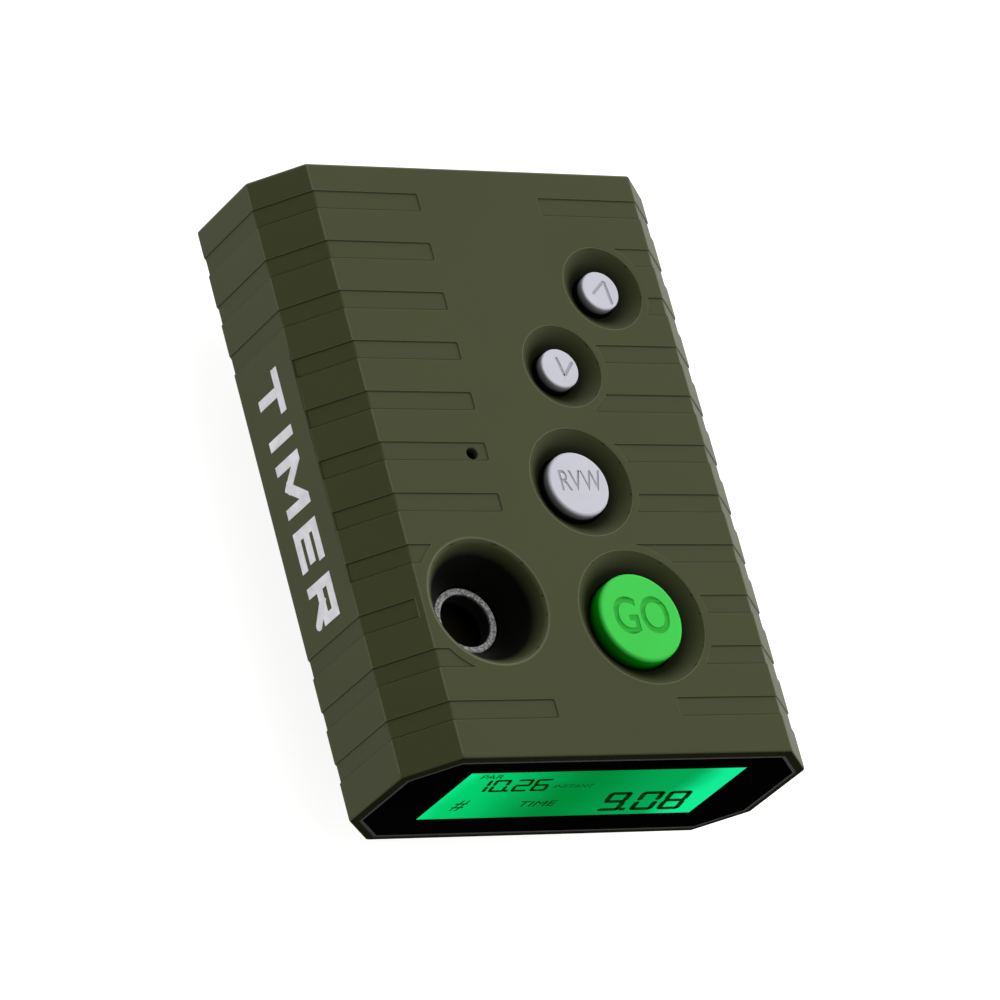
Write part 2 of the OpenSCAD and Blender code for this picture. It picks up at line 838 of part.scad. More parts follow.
module clip_bracket() {
    ear_x = clip_w / 2 + ear_gap;
    color("dimgray") raised() difference() {
        union() {
            block([-base_w / 2, base_w / 2], base_y, [base_under, sleeve_wall]);
            along_x(-ear_x - ear_t, -ear_x) clip_ear();
            along_x(ear_x, ear_x + ear_t) clip_ear();
        }
        translate([0, pivot_y, pivot_z]) rod_x(pivot_r, -base_w, base_w);
        for (p = CLIP_SCREWS) {
            post(p, clip_screw_r + screw_play, base_under - cut, sleeve_wall + cut);
            translate([p[0], p[1], base_under]) cylinder(
                h = clip_screw_head_h,
                r1 = clip_screw_head_r + screw_play,
                r2 = clip_screw_r + screw_play
            );
        }
    }
}

module clip_screws() {
    color("silver") raised() for (p = CLIP_SCREWS) translate([p[0], p[1], base_under])
        screw(clip_screw_r, clip_screw_head_r, clip_screw_head_h, clip_screw_l - base_under - 0.4, true);
}

module clip_pin() {
    head_t = 0.6;
    x = clip_w / 2 + ear_gap + ear_t;
    color("silver") raised() translate([0, pivot_y, pivot_z]) {
        rod_x(pivot_r, -x, x);
        for (end = [-x - head_t, x]) rod_x(pivot_r + 0.7, end, end + head_t);
    }
}

module clip_spring() {
    per_turn = 12;
    count = spring_turns * per_turn;
    coil = [for (i = [0 : count]) let (a = 90 + 360 * i / per_turn) [
        -spring_half + 2 * spring_half * i / count,
        pivot_y + spring_r * cos(a),
        pivot_z + spring_r * sin(a)
    ]];
    legs = [
        [-spring_half, spring_leg_y, base_under - spring_wire_r - 0.05],
        [spring_half, spring_leg_y, -lift + clip_t + spring_wire_r + 0.05]
    ];
    color("silver") raised() swept_wire(concat([legs[0]], coil, [legs[1]]), spring_wire_r, [1, 0, 0]);
}

// Side view of the arm: thumb end, straight run, bend towards the case and flared tip
function arm_outline() = let (low = -lift, top = -lift + clip_t, bend = arm_bend, tip = arm_tip) [
    [arm_near, low], [bend, low], [bend + 1.2, low + 0.5], [bend + 6.8, -2.5], [bend + 7.6, -2.1],
    [tip - 0.6, -4.6], [tip, -3.3], [bend + 8.3, -0.5], [bend + 5.6, -1], [bend + 0.2, low + 1.8],
    [bend - 0.6, top], [arm_near, top]
];

module clip_arm() {
    ridge_r = 0.5;
    cheek_x = clip_w / 2 - ear_gap;
    color("dimgray") raised() difference() {
        union() {
            along_x(-clip_w / 2, clip_w / 2) polygon(arm_outline());
            for (side = [-1, 1]) {
                x = side < 0 ? -cheek_x : cheek_x - flange_t;
                along_x(x, x + flange_t) {
                    translate([pivot_y, pivot_z]) circle(r = ear_r);
                    polygon([
                        [pivot_y - 5, -lift + clip_t / 2], [pivot_y + 5, -lift + clip_t / 2],
                        [pivot_y + ear_r, pivot_z], [pivot_y - ear_r, pivot_z]
                    ]);
                }
            }
        }
        translate([0, pivot_y, pivot_z]) rod_x(pivot_r + pin_fit, -clip_w, clip_w);
        for (k = [0 : 3]) translate([0, arm_near + 2 + 2 * k, -lift + clip_t + 0.2])
            rod_x(ridge_r, -clip_w / 2 + 2, clip_w / 2 - 2);
    }
}

sleeve();
front_shell();
rear_shell();
display_window();
lcd_glass();
display_holder();
backlight_guide();
backlight_leds();
lcd_connectors();
display_board();
board_header();
main_board();
processor_chip();
capacitors();
crystal();
smd_parts();
boost_coil();
for (b = BUTTONS) {
    button_cap(b);
    plunger(b);
    tact_switch(b);
}
buzzer_body();
buzzer_ring();
buzzer_disc();
buzzer_leads();
microphone();
mic_boot();
mic_leads();
battery();
battery_terminals();
battery_snap();
snap_contacts();
battery_leads();
battery_foam();
battery_door();
door_pin();
case_screws();
board_screws();
clip_bracket();
clip_screws();
clip_pin();
clip_spring();
clip_arm();
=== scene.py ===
"""Looks of a handheld shot timer: rubber sleeve, push buttons, buzzer, lit display, door and belt clip."""
import math
from collections import namedtuple

import bpy
from mathutils import Matrix, Quaternion, Vector


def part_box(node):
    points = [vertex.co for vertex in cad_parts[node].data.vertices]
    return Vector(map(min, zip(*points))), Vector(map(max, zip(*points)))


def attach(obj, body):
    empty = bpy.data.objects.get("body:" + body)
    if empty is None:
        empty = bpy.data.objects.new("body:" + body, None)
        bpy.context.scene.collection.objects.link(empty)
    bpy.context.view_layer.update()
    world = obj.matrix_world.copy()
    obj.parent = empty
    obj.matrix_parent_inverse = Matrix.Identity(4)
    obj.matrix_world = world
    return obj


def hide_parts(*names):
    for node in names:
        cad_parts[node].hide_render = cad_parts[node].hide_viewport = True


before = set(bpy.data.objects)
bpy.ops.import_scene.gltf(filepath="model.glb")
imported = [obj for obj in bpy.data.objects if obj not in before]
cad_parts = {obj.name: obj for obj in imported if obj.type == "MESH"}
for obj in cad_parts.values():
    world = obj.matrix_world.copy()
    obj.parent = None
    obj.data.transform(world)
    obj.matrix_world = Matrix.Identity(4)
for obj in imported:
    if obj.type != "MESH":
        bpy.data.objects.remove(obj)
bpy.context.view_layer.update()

MM = 0.001

# The body's place and size
SLEEVE_LOW, SLEEVE_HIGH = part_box("sleeve")
BODY_CENTRE = (SLEEVE_LOW + SLEEVE_HIGH) / 2
BACK = SLEEVE_LOW.z
TOP = SLEEVE_HIGH.z
NEAR = SLEEVE_LOW.y
FAR = SLEEVE_HIGH.y
HALF_WIDTH = SLEEVE_HIGH.x

# Sleeve
SLEEVE_WALL = 1.4 * MM
CHAMFER = 7.1 * MM
LONG_EDGE_ROUND = 0.25 * MM
END_EDGE_ROUND = 0.5 * MM
FINE_ROUND = 0.12 * MM
LIP = 0.9 * MM
SKIN = 1.7 * MM

# Grip pockets
ROWS = 11
ROW_PITCH = 8.66 * MM
ROW_START = 44.15 * MM
POCKET_HEIGHT = 3.15 * MM
POCKET_DEPTH = 0.2 * MM
POCKET_INNER = 11.3 * MM
POCKET_CORNER = 0.4 * MM
NAME_FIELD = 23.5 * MM

# Recesses, each named for the piece that stands in it: the rim's and the hole's radius, the depth, the
# rim's rounding and the width of the clear ring round it
Recess = namedtuple("Recess", "rim hole depth rim_round ring")
RECESSES = {
    "go_cap": Recess(11.45 * MM, 7.8 * MM, 3.1 * MM, 0.35 * MM, 1.1 * MM),
    "review_cap": Recess(9.33 * MM, 5.8 * MM, 3.1 * MM, 0.35 * MM, 1.1 * MM),
    "down_cap": Recess(7.23 * MM, 3.7 * MM, 3.1 * MM, 0.35 * MM, 1.1 * MM),
    "up_cap": Recess(7.34 * MM, 3.7 * MM, 3.1 * MM, 0.35 * MM, 1.1 * MM),
    "buzzer_ring": Recess(10.33 * MM, 5.75 * MM, 6.6 * MM, 1.3 * MM, 1.9 * MM),
}
CAP_RADIUS = {"go_cap": 7.5 * MM, "review_cap": 5.5 * MM, "down_cap": 3.4 * MM, "up_cap": 3.4 * MM}
CAP_ROUND = {"go_cap": 0.6 * MM, "review_cap": 0.45 * MM, "down_cap": 0.3 * MM, "up_cap": 0.3 * MM}
LEGEND_DEPTH = 0.12 * MM

# Openings for the battery door and the belt clip
DOOR_GAP = 0.3 * MM
DOOR_SILL = 2.25 * MM
HINGE_SLOT_FOOT = 2.2 * MM
CLIP_GAP = 0.3 * MM
CLIP_WINDOW_NEAR = -35.3 * MM
CLIP_WINDOW_FAR = -14.7 * MM

# Display
LIT_LEFT = -25.8 * MM
LIT_RIGHT = 25.3 * MM
LIT_HEIGHT = 17.1 * MM
LIT_CENTRE = 16.0 * MM
LIT_DEPTH = 0.06 * MM
LIT_BACK = 1.1 * MM
CARRIER_FRONT = 1.25 * MM

# Studio and camera
FLOOR_GLOW = 0.88
WORLD_DIM = 0.2
WORLD_BRIGHT = 1.9
CAMERA_AZIMUTH = -56.73
CAMERA_ELEVATION = 47.87
CAMERA_ROLL = 48.8
CAMERA_DISTANCE = 1.0369
LENS = 239.7


# ---------- hands ----------

def let_go():
    if bpy.context.object and bpy.context.object.mode != "OBJECT":
        bpy.ops.object.mode_set(mode="OBJECT")
    bpy.ops.object.select_all(action="DESELECT")


def take(piece):
    let_go()
    piece.select_set(True)
    bpy.context.view_layer.objects.active = piece


def centre_of(node):
    low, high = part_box(node)
    return (low + high) / 2


def settle(piece, name):
    """Names a piece and puts its place into its mesh."""
    take(piece)
    piece.name = name
    piece.data.name = name
    bpy.ops.object.transform_apply(location=True, rotation=True, scale=True)
    return piece


def add_block(name, low, high):
    let_go()
    low, high = Vector(low), Vector(high)
    bpy.ops.mesh.primitive_cube_add(size=1, location=(low + high) / 2, scale=high - low)
    return settle(bpy.context.object, name)


def add_rod(name, start, end, radius, sides=64):
    let_go()
    start, end = Vector(start), Vector(end)
    turn = (end - start).to_track_quat("Z", "Y").to_euler()
    bpy.ops.mesh.primitive_cylinder_add(
        vertices=sides, radius=radius, depth=(end - start).length, location=(start + end) / 2, rotation=turn
    )
    return settle(bpy.context.object, name)


def mark_edges(piece, wanted):
    """Selects the edges whose two ends pass a test, ready for an edit."""
    take(piece)
    bpy.ops.object.mode_set(mode="EDIT")
    bpy.ops.mesh.select_mode(type="EDGE")
    bpy.ops.mesh.select_all(action="DESELECT")
    bpy.ops.object.mode_set(mode="OBJECT")
    points = piece.data.vertices
    for edge in piece.data.edges:
        a, b = (points[i].co for i in edge.vertices)
        edge.select = wanted(a, b)
    bpy.ops.object.mode_set(mode="EDIT")


def round_marked(width, segments):
    bpy.ops.mesh.bevel(offset=width, offset_type="OFFSET", segments=segments, clamp_overlap=False)
    bpy.ops.object.mode_set(mode="OBJECT")


def press_modifier(piece, modifier):
    take(piece)
    bpy.ops.object.modifier_apply(modifier=modifier.name)


def combine(piece, tool, operation):
    step = piece.modifiers.new("combine", "BOOLEAN")
    step.operation = operation
    step.object = tool
    step.solver = "EXACT"
    press_modifier(piece, step)
    bpy.data.objects.remove(tool)
    return piece


def carve(piece, tool):
    combine(piece, tool, "DIFFERENCE")


def weld(piece, tool):
    return combine(piece, tool, "UNION")


def join(pieces, name):
    take(pieces[0])
    for piece in pieces[1:]:
        piece.select_set(True)
    if len(pieces) > 1:
        bpy.ops.object.join()
    return settle(pieces[0], name)


def soften(piece, width, segments=2, angle=35):
    step = piece.modifiers.new("soften", "BEVEL")
    step.width = width
    step.segments = segments
    step.limit_method = "ANGLE"
    step.angle_limit = math.radians(angle)
    step.use_clamp_overlap = False
    step.harden_normals = False
    press_modifier(piece, step)


def smooth(piece, angle=30):
    take(piece)
    bpy.ops.object.shade_smooth_by_angle(angle=math.radians(angle))


def even_shading(piece, angle=32):
    """Smooths rounded edges and keeps the large faces flat."""
    smooth(piece, angle)
    step = piece.modifiers.new("even", "WEIGHTED_NORMAL")
    step.keep_sharp = True
    press_modifier(piece, step)


def tidy_mesh(piece, dissolve=True):
    """Merges doubled points and turns the faces outwards."""
    take(piece)
    bpy.ops.object.mode_set(mode="EDIT")
    bpy.ops.mesh.select_all(action="SELECT")
    bpy.ops.mesh.remove_doubles(threshold=0.002 * MM)
    if dissolve:
        bpy.ops.mesh.dissolve_degenerate(threshold=0.002 * MM)
    bpy.ops.mesh.normals_make_consistent(inside=False)
    bpy.ops.object.mode_set(mode="OBJECT")
    return piece


def lathe(name, centre, profile, sides=96):
    """Builds a turned solid from rings (radius, height), each drawn out of the one before."""
    let_go()
    radius, height = profile[0]
    place = Vector((centre[0], centre[1], height))
    bpy.ops.mesh.primitive_circle_add(vertices=sides, radius=radius, fill_type="NGON", location=place)
    turned = bpy.context.object
    bpy.ops.object.mode_set(mode="EDIT")
    bpy.ops.mesh.select_all(action="SELECT")
    for (r0, z0), (r1, z1) in zip(profile, profile[1:]):
        bpy.ops.mesh.extrude_region_move(TRANSFORM_OT_translate={"value": (0, 0, z1 - z0)})
        bpy.ops.transform.resize(value=(r1 / r0, r1 / r0, 1), center_override=(centre[0], centre[1], z1))
    bpy.ops.mesh.select_all(action="SELECT")
    bpy.ops.mesh.normals_make_consistent(inside=False)
    bpy.ops.object.mode_set(mode="OBJECT")
    return settle(turned, name)


def eight_sided(name, inset, near, far):
    """The body's outline, drawn in by an inset, from the near end to the far end."""
    half = Vector((HALF_WIDTH - inset, 0, (TOP - BACK) / 2 - inset))
    middle = (TOP + BACK) / 2
    block = add_block(name, (-half.x, near, middle - half.z), (half.x, far, middle + half.z))
    mark_edges(block, lambda a, b: abs(a.y - b.y) > (far - near) / 2)
    round_marked(CHAMFER - (2 - math.sqrt(2)) * inset, 1)
    return block


def round_long_edges(piece, width):
    mark_edges(piece, lambda a, b: abs(a.y - b.y) > 10 * MM)
    round_marked(width, 3)
    return piece


def round_end(piece, at, width):
    mark_edges(piece, lambda a, b: abs(a.y - at) < MM / 100 and abs(b.y - at) < MM / 100)
    round_marked(width, 4)


def written(text, left, right, base, height, thickness, name, place, weight=0.0):
    """Lettering fitted to a width and height, then put in place by a matrix."""
    let_go()
    bpy.ops.object.text_add()
    words = bpy.context.object
    words.data.body = text
    words.data.extrude = thickness / 2
    words.data.offset = weight
    bpy.ops.object.convert(target="MESH")
    words = settle(bpy.context.object, name)
    points = [v.co for v in words.data.vertices]
    low_x, high_x = min(p.x for p in points), max(p.x for p in points)
    low_y, high_y = min(p.y for p in points), max(p.y for p in points)
    size = Matrix.Diagonal(((right - left) / (high_x - low_x), height / (high_y - low_y), 1, 1))
    shift = Matrix.Translation((-low_x, -low_y, 0))
    words.data.transform(Matrix.Translation((left, base, 0)) @ size @ shift)
    words.data.transform(place)
    return words


# ---------- finishes ----------

def add_socket(group, name, kind, value=None, output=False):
    place = "OUTPUT" if output else "INPUT"
    socket = group.interface.new_socket(name=name, in_out=place, socket_type=kind)
    if value is not None:
        socket.default_value = value


def moulded_surface_group():
    """Mottled colour, uneven sheen and a fine grain, as on any moulded or cast skin."""
    group = bpy.data.node_groups.new("moulded_surface", "ShaderNodeTree")
    add_socket(group, "Color", "NodeSocketColor", (0.5, 0.5, 0.5, 1))
    add_socket(group, "Second Color", "NodeSocketColor", (0.4, 0.4, 0.4, 1))
    add_socket(group, "Mottle Scale", "NodeSocketFloat", 60)
    add_socket(group, "Grain Scale", "NodeSocketFloat", 2500)
    add_socket(group, "Roughness Low", "NodeSocketFloat", 0.4)
    add_socket(group, "Roughness High", "NodeSocketFloat", 0.6)
    add_socket(group, "Color", "NodeSocketColor", output=True)
    add_socket(group, "Roughness", "NodeSocketFloat", output=True)
    add_socket(group, "Height", "NodeSocketFloat", output=True)
    nodes, links = group.nodes, group.links
    given = nodes.new("NodeGroupInput")
    out = nodes.new("NodeGroupOutput")
    place = nodes.new("ShaderNodeTexCoord")
    mottle = nodes.new("ShaderNodeTexNoise")
    mottle.inputs["Detail"].default_value = 4
    links.new(place.outputs["Object"], mottle.inputs["Vector"])
    links.new(given.outputs["Mottle Scale"], mottle.inputs["Scale"])
    spread = nodes.new("ShaderNodeMapRange")
    spread.inputs["From Min"].default_value = 0.35
    spread.inputs["From Max"].default_value = 0.65
    links.new(mottle.outputs["Fac"], spread.inputs["Value"])
    blend = nodes.new("ShaderNodeMix")
    blend.data_type = "RGBA"
    links.new(spread.outputs["Result"], blend.inputs[0])
    links.new(given.outputs["Color"], blend.inputs[6])
    links.new(given.outputs["Second Color"], blend.inputs[7])
    links.new(blend.outputs[2], out.inputs["Color"])
    grain = nodes.new("ShaderNodeTexNoise")
    grain.inputs["Detail"].default_value = 2
    links.new(place.outputs["Object"], grain.inputs["Vector"])
    links.new(given.outputs["Grain Scale"], grain.inputs["Scale"])
    sheen = nodes.new("ShaderNodeMapRange")
    links.new(grain.outputs["Fac"], sheen.inputs["Value"])
    links.new(given.outputs["Roughness Low"], sheen.inputs["To Min"])
    links.new(given.outputs["Roughness High"], sheen.inputs["To Max"])
    links.new(sheen.outputs["Result"], out.inputs["Roughness"])
    links.new(grain.outputs["Fac"], out.inputs["Height"])
    return group


MOULDED = moulded_surface_group()


def start_finish(name):
    finish = bpy.data.materials.new(name)
    finish.use_nodes = True
    shader = finish.node_tree.nodes["Principled BSDF"]
    return finish, finish.node_tree.nodes, finish.node_tree.links, shader


def moulded_finish(
    name, color, second, rough=(0.4, 0.6), mottle=60, grain=2500, bump=0.2, metallic=0.0, specular=0.5
):
    """A skin with mottle, uneven sheen and grain."""
    finish, nodes, links, shader = start_finish(name)
    skin = nodes.new("ShaderNodeGroup")
    skin.node_tree = MOULDED
    skin.inputs["Color"].default_value = (*color, 1)
    skin.inputs["Second Color"].default_value = (*second, 1)
    skin.inputs["Mottle Scale"].default_value = mottle
    skin.inputs["Grain Scale"].default_value = grain
    skin.inputs["Roughness Low"].default_value = rough[0]
    skin.inputs["Roughness High"].default_value = rough[1]
    relief = nodes.new("ShaderNodeBump")
    relief.inputs["Strength"].default_value = bump
    relief.inputs["Distance"].default_value = 0.02 * MM
    links.new(skin.outputs["Color"], shader.inputs["Base Color"])
    links.new(skin.outputs["Roughness"], shader.inputs["Roughness"])
    links.new(skin.outputs["Height"], relief.inputs["Height"])
    links.new(relief.outputs["Normal"], shader.inputs["Normal"])
    shader.inputs["Metallic"].default_value = metallic
    shader.inputs["Specular IOR Level"].default_value = specular
    return finish


def shade_of(color, factor):
    return tuple(c * factor for c in color)


def simple_finish(name, color, **choices):
    return moulded_finish(name, color, shade_of(color, 0.8), **choices)


def paint_over(finish, mask, color):
    """Lays a colour over a finish where a mask is bright."""
    nodes, links = finish.node_tree.nodes, finish.node_tree.links
    base = nodes["Principled BSDF"].inputs["Base Color"]
    mix = nodes.new("ShaderNodeMix")
    mix.data_type = "RGBA"
    links.new(mask, mix.inputs[0])
    links.new(base.links[0].from_socket, mix.inputs[6])
    mix.inputs[7].default_value = (*color, 1)
    links.new(mix.outputs[2], base)


def depth_shade(finish, centre, radius, high, low, dark):
    """Darkens a finish below a height inside a circle: painted shade where a recess, a groove or a cap's
    side lies in shadow.
    """
    nodes, links = finish.node_tree.nodes, finish.node_tree.links
    place = nodes.new("ShaderNodeTexCoord")
    apart = nodes.new("ShaderNodeSeparateXYZ")
    links.new(place.outputs["Object"], apart.inputs["Vector"])
    flat = nodes.new("ShaderNodeVectorMath")
    flat.operation = "MULTIPLY"
    flat.inputs[1].default_value = (1, 1, 0)
    links.new(place.outputs["Object"], flat.inputs[0])
    away = nodes.new("ShaderNodeVectorMath")
    away.operation = "DISTANCE"
    away.inputs[1].default_value = (centre[0], centre[1], 0)
    links.new(flat.outputs["Vector"], away.inputs[0])
    inside = nodes.new("ShaderNodeMath")
    inside.operation = "LESS_THAN"
    inside.inputs[1].default_value = radius
    links.new(away.outputs["Value"], inside.inputs[0])
    deep = nodes.new("ShaderNodeMapRange")
    deep.inputs["From Min"].default_value = high
    deep.inputs["From Max"].default_value = low
    links.new(apart.outputs["Z"], deep.inputs["Value"])
    mask = nodes.new("ShaderNodeMath")
    mask.operation = "MULTIPLY"
    links.new(inside.outputs["Value"], mask.inputs[0])
    links.new(deep.outputs["Result"], mask.inputs[1])
    paint_over(finish, mask.outputs["Value"], dark)


def depth_below_skin_group():
    """How far a point lies under the body's outline, and how near it is to a pocket's long edge."""
    group = bpy.data.node_groups.new("depth_below_skin", "ShaderNodeTree")
    add_socket(group, "Depth", "NodeSocketFloat", output=True)
    add_socket(group, "Row Edge", "NodeSocketFloat", output=True)
    add_socket(group, "From Display End", "NodeSocketFloat", output=True)
    nodes, links = group.nodes, group.links
    out = nodes.new("NodeGroupOutput")
    place = nodes.new("ShaderNodeTexCoord")
    apart = nodes.new("ShaderNodeSeparateXYZ")
    links.new(place.outputs["Object"], apart.inputs["Vector"])

    def reckon(operation, first, second=None):
        step = nodes.new("ShaderNodeMath")
        step.operation = operation
        for socket, value in zip(step.inputs, (first, second)):
            if isinstance(value, bpy.types.NodeSocket):
                links.new(value, socket)
            elif value is not None:
                socket.default_value = value
        return step.outputs["Value"]

    thick = (TOP - BACK) / 2
    side = reckon("ABSOLUTE", apart.outputs["X"])
    height = reckon("ABSOLUTE", reckon("SUBTRACT", apart.outputs["Z"], (TOP + BACK) / 2))
    corner = reckon("SUBTRACT", reckon("ADD", side, height), HALF_WIDTH + thick - CHAMFER)
    flat = reckon("MAXIMUM", reckon("SUBTRACT", side, HALF_WIDTH), reckon("SUBTRACT", height, thick))
    nearest = reckon("MAXIMUM", flat, reckon("MULTIPLY", corner, math.sqrt(0.5)))
    links.new(reckon("MULTIPLY", nearest, -1.0), out.inputs["Depth"])
    along = reckon("SUBTRACT", apart.outputs["Y"], ROW_START - ROW_PITCH * ROWS)
    across = reckon("SUBTRACT", reckon("PINGPONG", along, ROW_PITCH / 2), POCKET_HEIGHT / 2)
    links.new(reckon("ABSOLUTE", across), out.inputs["Row Edge"])
    links.new(reckon("SUBTRACT", apart.outputs["Y"], NEAR), out.inputs["From Display End"])
    return group


def pocket_shade(finish, floor_color, corner_shade_color, edge_highlight_color, end_shade_color):
    """Pocket floors a little darker than the skin, with painted shade along their long edges, a painted
    highlight on rounded edges, and painted shade at the display end.
    """
    nodes, links = finish.node_tree.nodes, finish.node_tree.links
    measure = nodes.new("ShaderNodeGroup")
    measure.node_tree = depth_below_skin_group()

    def between(source, start, end):
        step = nodes.new("ShaderNodeMapRange")
        step.inputs["From Min"].default_value = start
        step.inputs["From Max"].default_value = end
        links.new(measure.outputs[source], step.inputs["Value"])
        return step.outputs["Result"]

    def both(first, second):
        step = nodes.new("ShaderNodeMath")
        step.operation = "MULTIPLY"
        links.new(first, step.inputs[0])
        links.new(second, step.inputs[1])
        return step.outputs["Value"]

    above_wall = between("Depth", POCKET_DEPTH + 0.12 * MM, POCKET_DEPTH + 0.06 * MM)
    floor = both(between("Depth", POCKET_DEPTH * 0.3, POCKET_DEPTH * 0.85), above_wall)
    # Painted shade in the pockets' corners along their long edges.
    corner = both(floor, between("Row Edge", 0.3 * MM, 0.06 * MM))
    # Painted highlight on the rounded convex edges, kept off the display end.
    painted_edge_highlight = both(between("Depth", 0.006 * MM, 0.03 * MM), between("Depth", 0.13 * MM, 0.08 * MM))
    painted_edge_highlight = both(painted_edge_highlight, between("From Display End", 0.5 * MM, 1.2 * MM))
    # Painted shade on the rounding at the display end.
    end = between("From Display End", 0.35 * MM, 0.12 * MM)
    paint_over(finish, floor, floor_color)
    paint_over(finish, corner, corner_shade_color)
    paint_over(finish, painted_edge_highlight, edge_highlight_color)
    paint_over(finish, end, end_shade_color)


def rubber_finish():
    """Olive silicone, darker down in the recesses as painted shade, with the pocket marks, painted shade at
    the cut end and a painted highlight on rounded edges.
    """
    olive = (0.06, 0.067, 0.026)
    finish = moulded_finish(
        "olive_silicone", olive, shade_of(olive, 0.93), rough=(0.42, 0.54), mottle=35, grain=4000, bump=0.1,
        specular=0.08
    )
    painted_edge_highlight = (0.11, 0.118, 0.068)
    # Pocket marks: floors a little darker, painted shade in corners and at the display end, painted
    # highlight on edges.
    pocket_shade(finish, shade_of(olive, 0.92), shade_of(olive, 0.36), painted_edge_highlight, shade_of(olive, 0.15))
    # Painted shade down each recess's walls, darkest in the buzzer's deep well.
    for node, recess in RECESSES.items():
        start, end, dark = (0.3 * MM, 2.4 * MM, 0.02) if node == "buzzer_ring" else (0.1 * MM, 2.3 * MM, 0.2)
        depth_shade(finish, centre_of(node), recess.rim, TOP - start, TOP - end, shade_of(olive, dark))
    return finish


def sleeve_end_shade_finish():
    """The sleeve's cut end around the window: dull rubber painted dark as painted shade."""
    return moulded_finish(
        "painted_shade_silicone_end", (0.012, 0.013, 0.006), (0.009, 0.01, 0.004), rough=(0.6, 0.7), mottle=60,
        grain=3000, bump=0.2, specular=0.0
    )


def cap_finish(name, color, bands, legend_shade_color, node):
    """Cap colour with painted shade down its side in bands, and painted shade in the legend's engraved
    grooves.
    """
    centre, top = centre_of(node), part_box(node)[1].z
    past_cap = 20 * MM
    finish = moulded_finish(
        name, color, shade_of(color, 0.95), rough=(0.38, 0.48), mottle=120, grain=3500, bump=0.05,
        specular=0.12
    )
    # Painted shade down the cap's side, one band after another.
    for start, end, dark in bands:
        depth_shade(finish, centre, past_cap, top - start * MM, top - end * MM, dark)
    legend_radius = CAP_RADIUS[node] - CAP_ROUND[node]
    # Painted shade in the legend's engraved grooves.
    depth_shade(finish, centre, legend_radius, top - 0.03 * MM, top - LEGEND_DEPTH, legend_shade_color)
    return finish


def speckled_finish():
    """Grey moulding with light and dark grains, and painted shade inside the buzzer's bore."""
    finish = moulded_finish(
        "speckled_grey", (0.22, 0.22, 0.21), (0.17, 0.17, 0.165), rough=(0.55, 0.75), mottle=300, bump=0.3
    )
    nodes, links = finish.node_tree.nodes, finish.node_tree.links
    place = nodes.new("ShaderNodeTexCoord")
    grains = nodes.new("ShaderNodeTexNoise")
    grains.inputs["Scale"].default_value = 2600
    grains.inputs["Detail"].default_value = 1
    links.new(place.outputs["Object"], grains.inputs["Vector"])
    ramp = nodes.new("ShaderNodeValToRGB")
    stops = ramp.color_ramp.elements
    stops[0].position = 0.34
    stops[0].color = (0.09, 0.09, 0.09, 1)
    stops[1].position = 0.64
    stops[1].color = (0.42, 0.42, 0.41, 1)
    middle = stops.new(0.48)
    middle.color = (0.2, 0.2, 0.195, 1)
    links.new(grains.outputs["Fac"], ramp.inputs["Fac"])
    links.new(ramp.outputs["Color"], nodes["Principled BSDF"].inputs["Base Color"])
    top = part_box("buzzer_ring")[1].z
    bore_shade = (0.004, 0.004, 0.004)
    # Painted shade: the inside of the bore is painted very dark.
    depth_shade(finish, centre_of("buzzer_ring"), 4.5 * MM, top - 0.1 * MM, top - 0.5 * MM, bore_shade)
    return finish


def window_finish():
    """Black-backed glossy acrylic with faint smears."""
    return moulded_finish(
        "black_window", (0.0012, 0.0012, 0.0012), (0.0006, 0.0006, 0.0006),
        rough=(0.08, 0.2), mottle=25, grain=60, bump=0.0, specular=0.0
    )


def lit_finish():
    """Display lit from both ends, so it is brightest there."""
    finish, nodes, links, shader = start_finish("lit_display")
    shader.inputs["Base Color"].default_value = (0.0, 0.01, 0.004, 1)
    shader.inputs["Roughness"].default_value = 0.5
    shader.inputs["Specular IOR Level"].default_value = 0.0
    place = nodes.new("ShaderNodeTexCoord")
    apart = nodes.new("ShaderNodeSeparateXYZ")
    links.new(place.outputs["Object"], apart.inputs["Vector"])
    across = nodes.new("ShaderNodeMapRange")
    across.inputs["From Min"].default_value = LIT_LEFT
    across.inputs["From Max"].default_value = LIT_RIGHT
    cloud = nodes.new("ShaderNodeTexNoise")
    cloud.inputs["Scale"].default_value = 90
    cloud.inputs["Detail"].default_value = 2
    links.new(place.outputs["Object"], cloud.inputs["Vector"])
    drift = nodes.new("ShaderNodeMath")
    drift.operation = "MULTIPLY_ADD"
    drift.inputs[1].default_value = 6 * MM
    links.new(cloud.outputs["Fac"], drift.inputs[0])
    links.new(apart.outputs["X"], drift.inputs[2])
    links.new(drift.outputs["Value"], across.inputs["Value"])
    ramp = nodes.new("ShaderNodeValToRGB")
    ramp.color_ramp.interpolation = "EASE"
    stops = ramp.color_ramp.elements
    stops[0].position = 0.0
    stops[0].color = (0.003, 0.93, 0.3, 1)
    stops[1].position = 1.0
    stops[1].color = (0.006, 0.84, 0.3, 1)
    for position, color in [
        (0.14, (0.001, 0.6, 0.15, 1)), (0.5, (0.0005, 0.24, 0.038, 1)), (0.86, (0.001, 0.37, 0.085, 1))
    ]:
        stop = stops.new(position)
        stop.color = color
    links.new(across.outputs["Result"], ramp.inputs["Fac"])
    links.new(ramp.outputs["Color"], shader.inputs["Emission Color"])
    shader.inputs["Emission Strength"].default_value = 1.0
    return finish


def faint_ink_finish():
    """Ink of a mark that hardly shows against the lit field."""
    finish, _nodes, _links, shader = start_finish("faint_display_ink")
    shader.inputs["Base Color"].default_value = (0.0, 0.03, 0.008, 1)
    shader.inputs["Specular IOR Level"].default_value = 0.0
    shader.inputs["Emission Color"].default_value = (0.0, 0.06, 0.01, 1)
    shader.inputs["Emission Strength"].default_value = 1.0
    shader.inputs["Roughness"].default_value = 0.5
    return finish


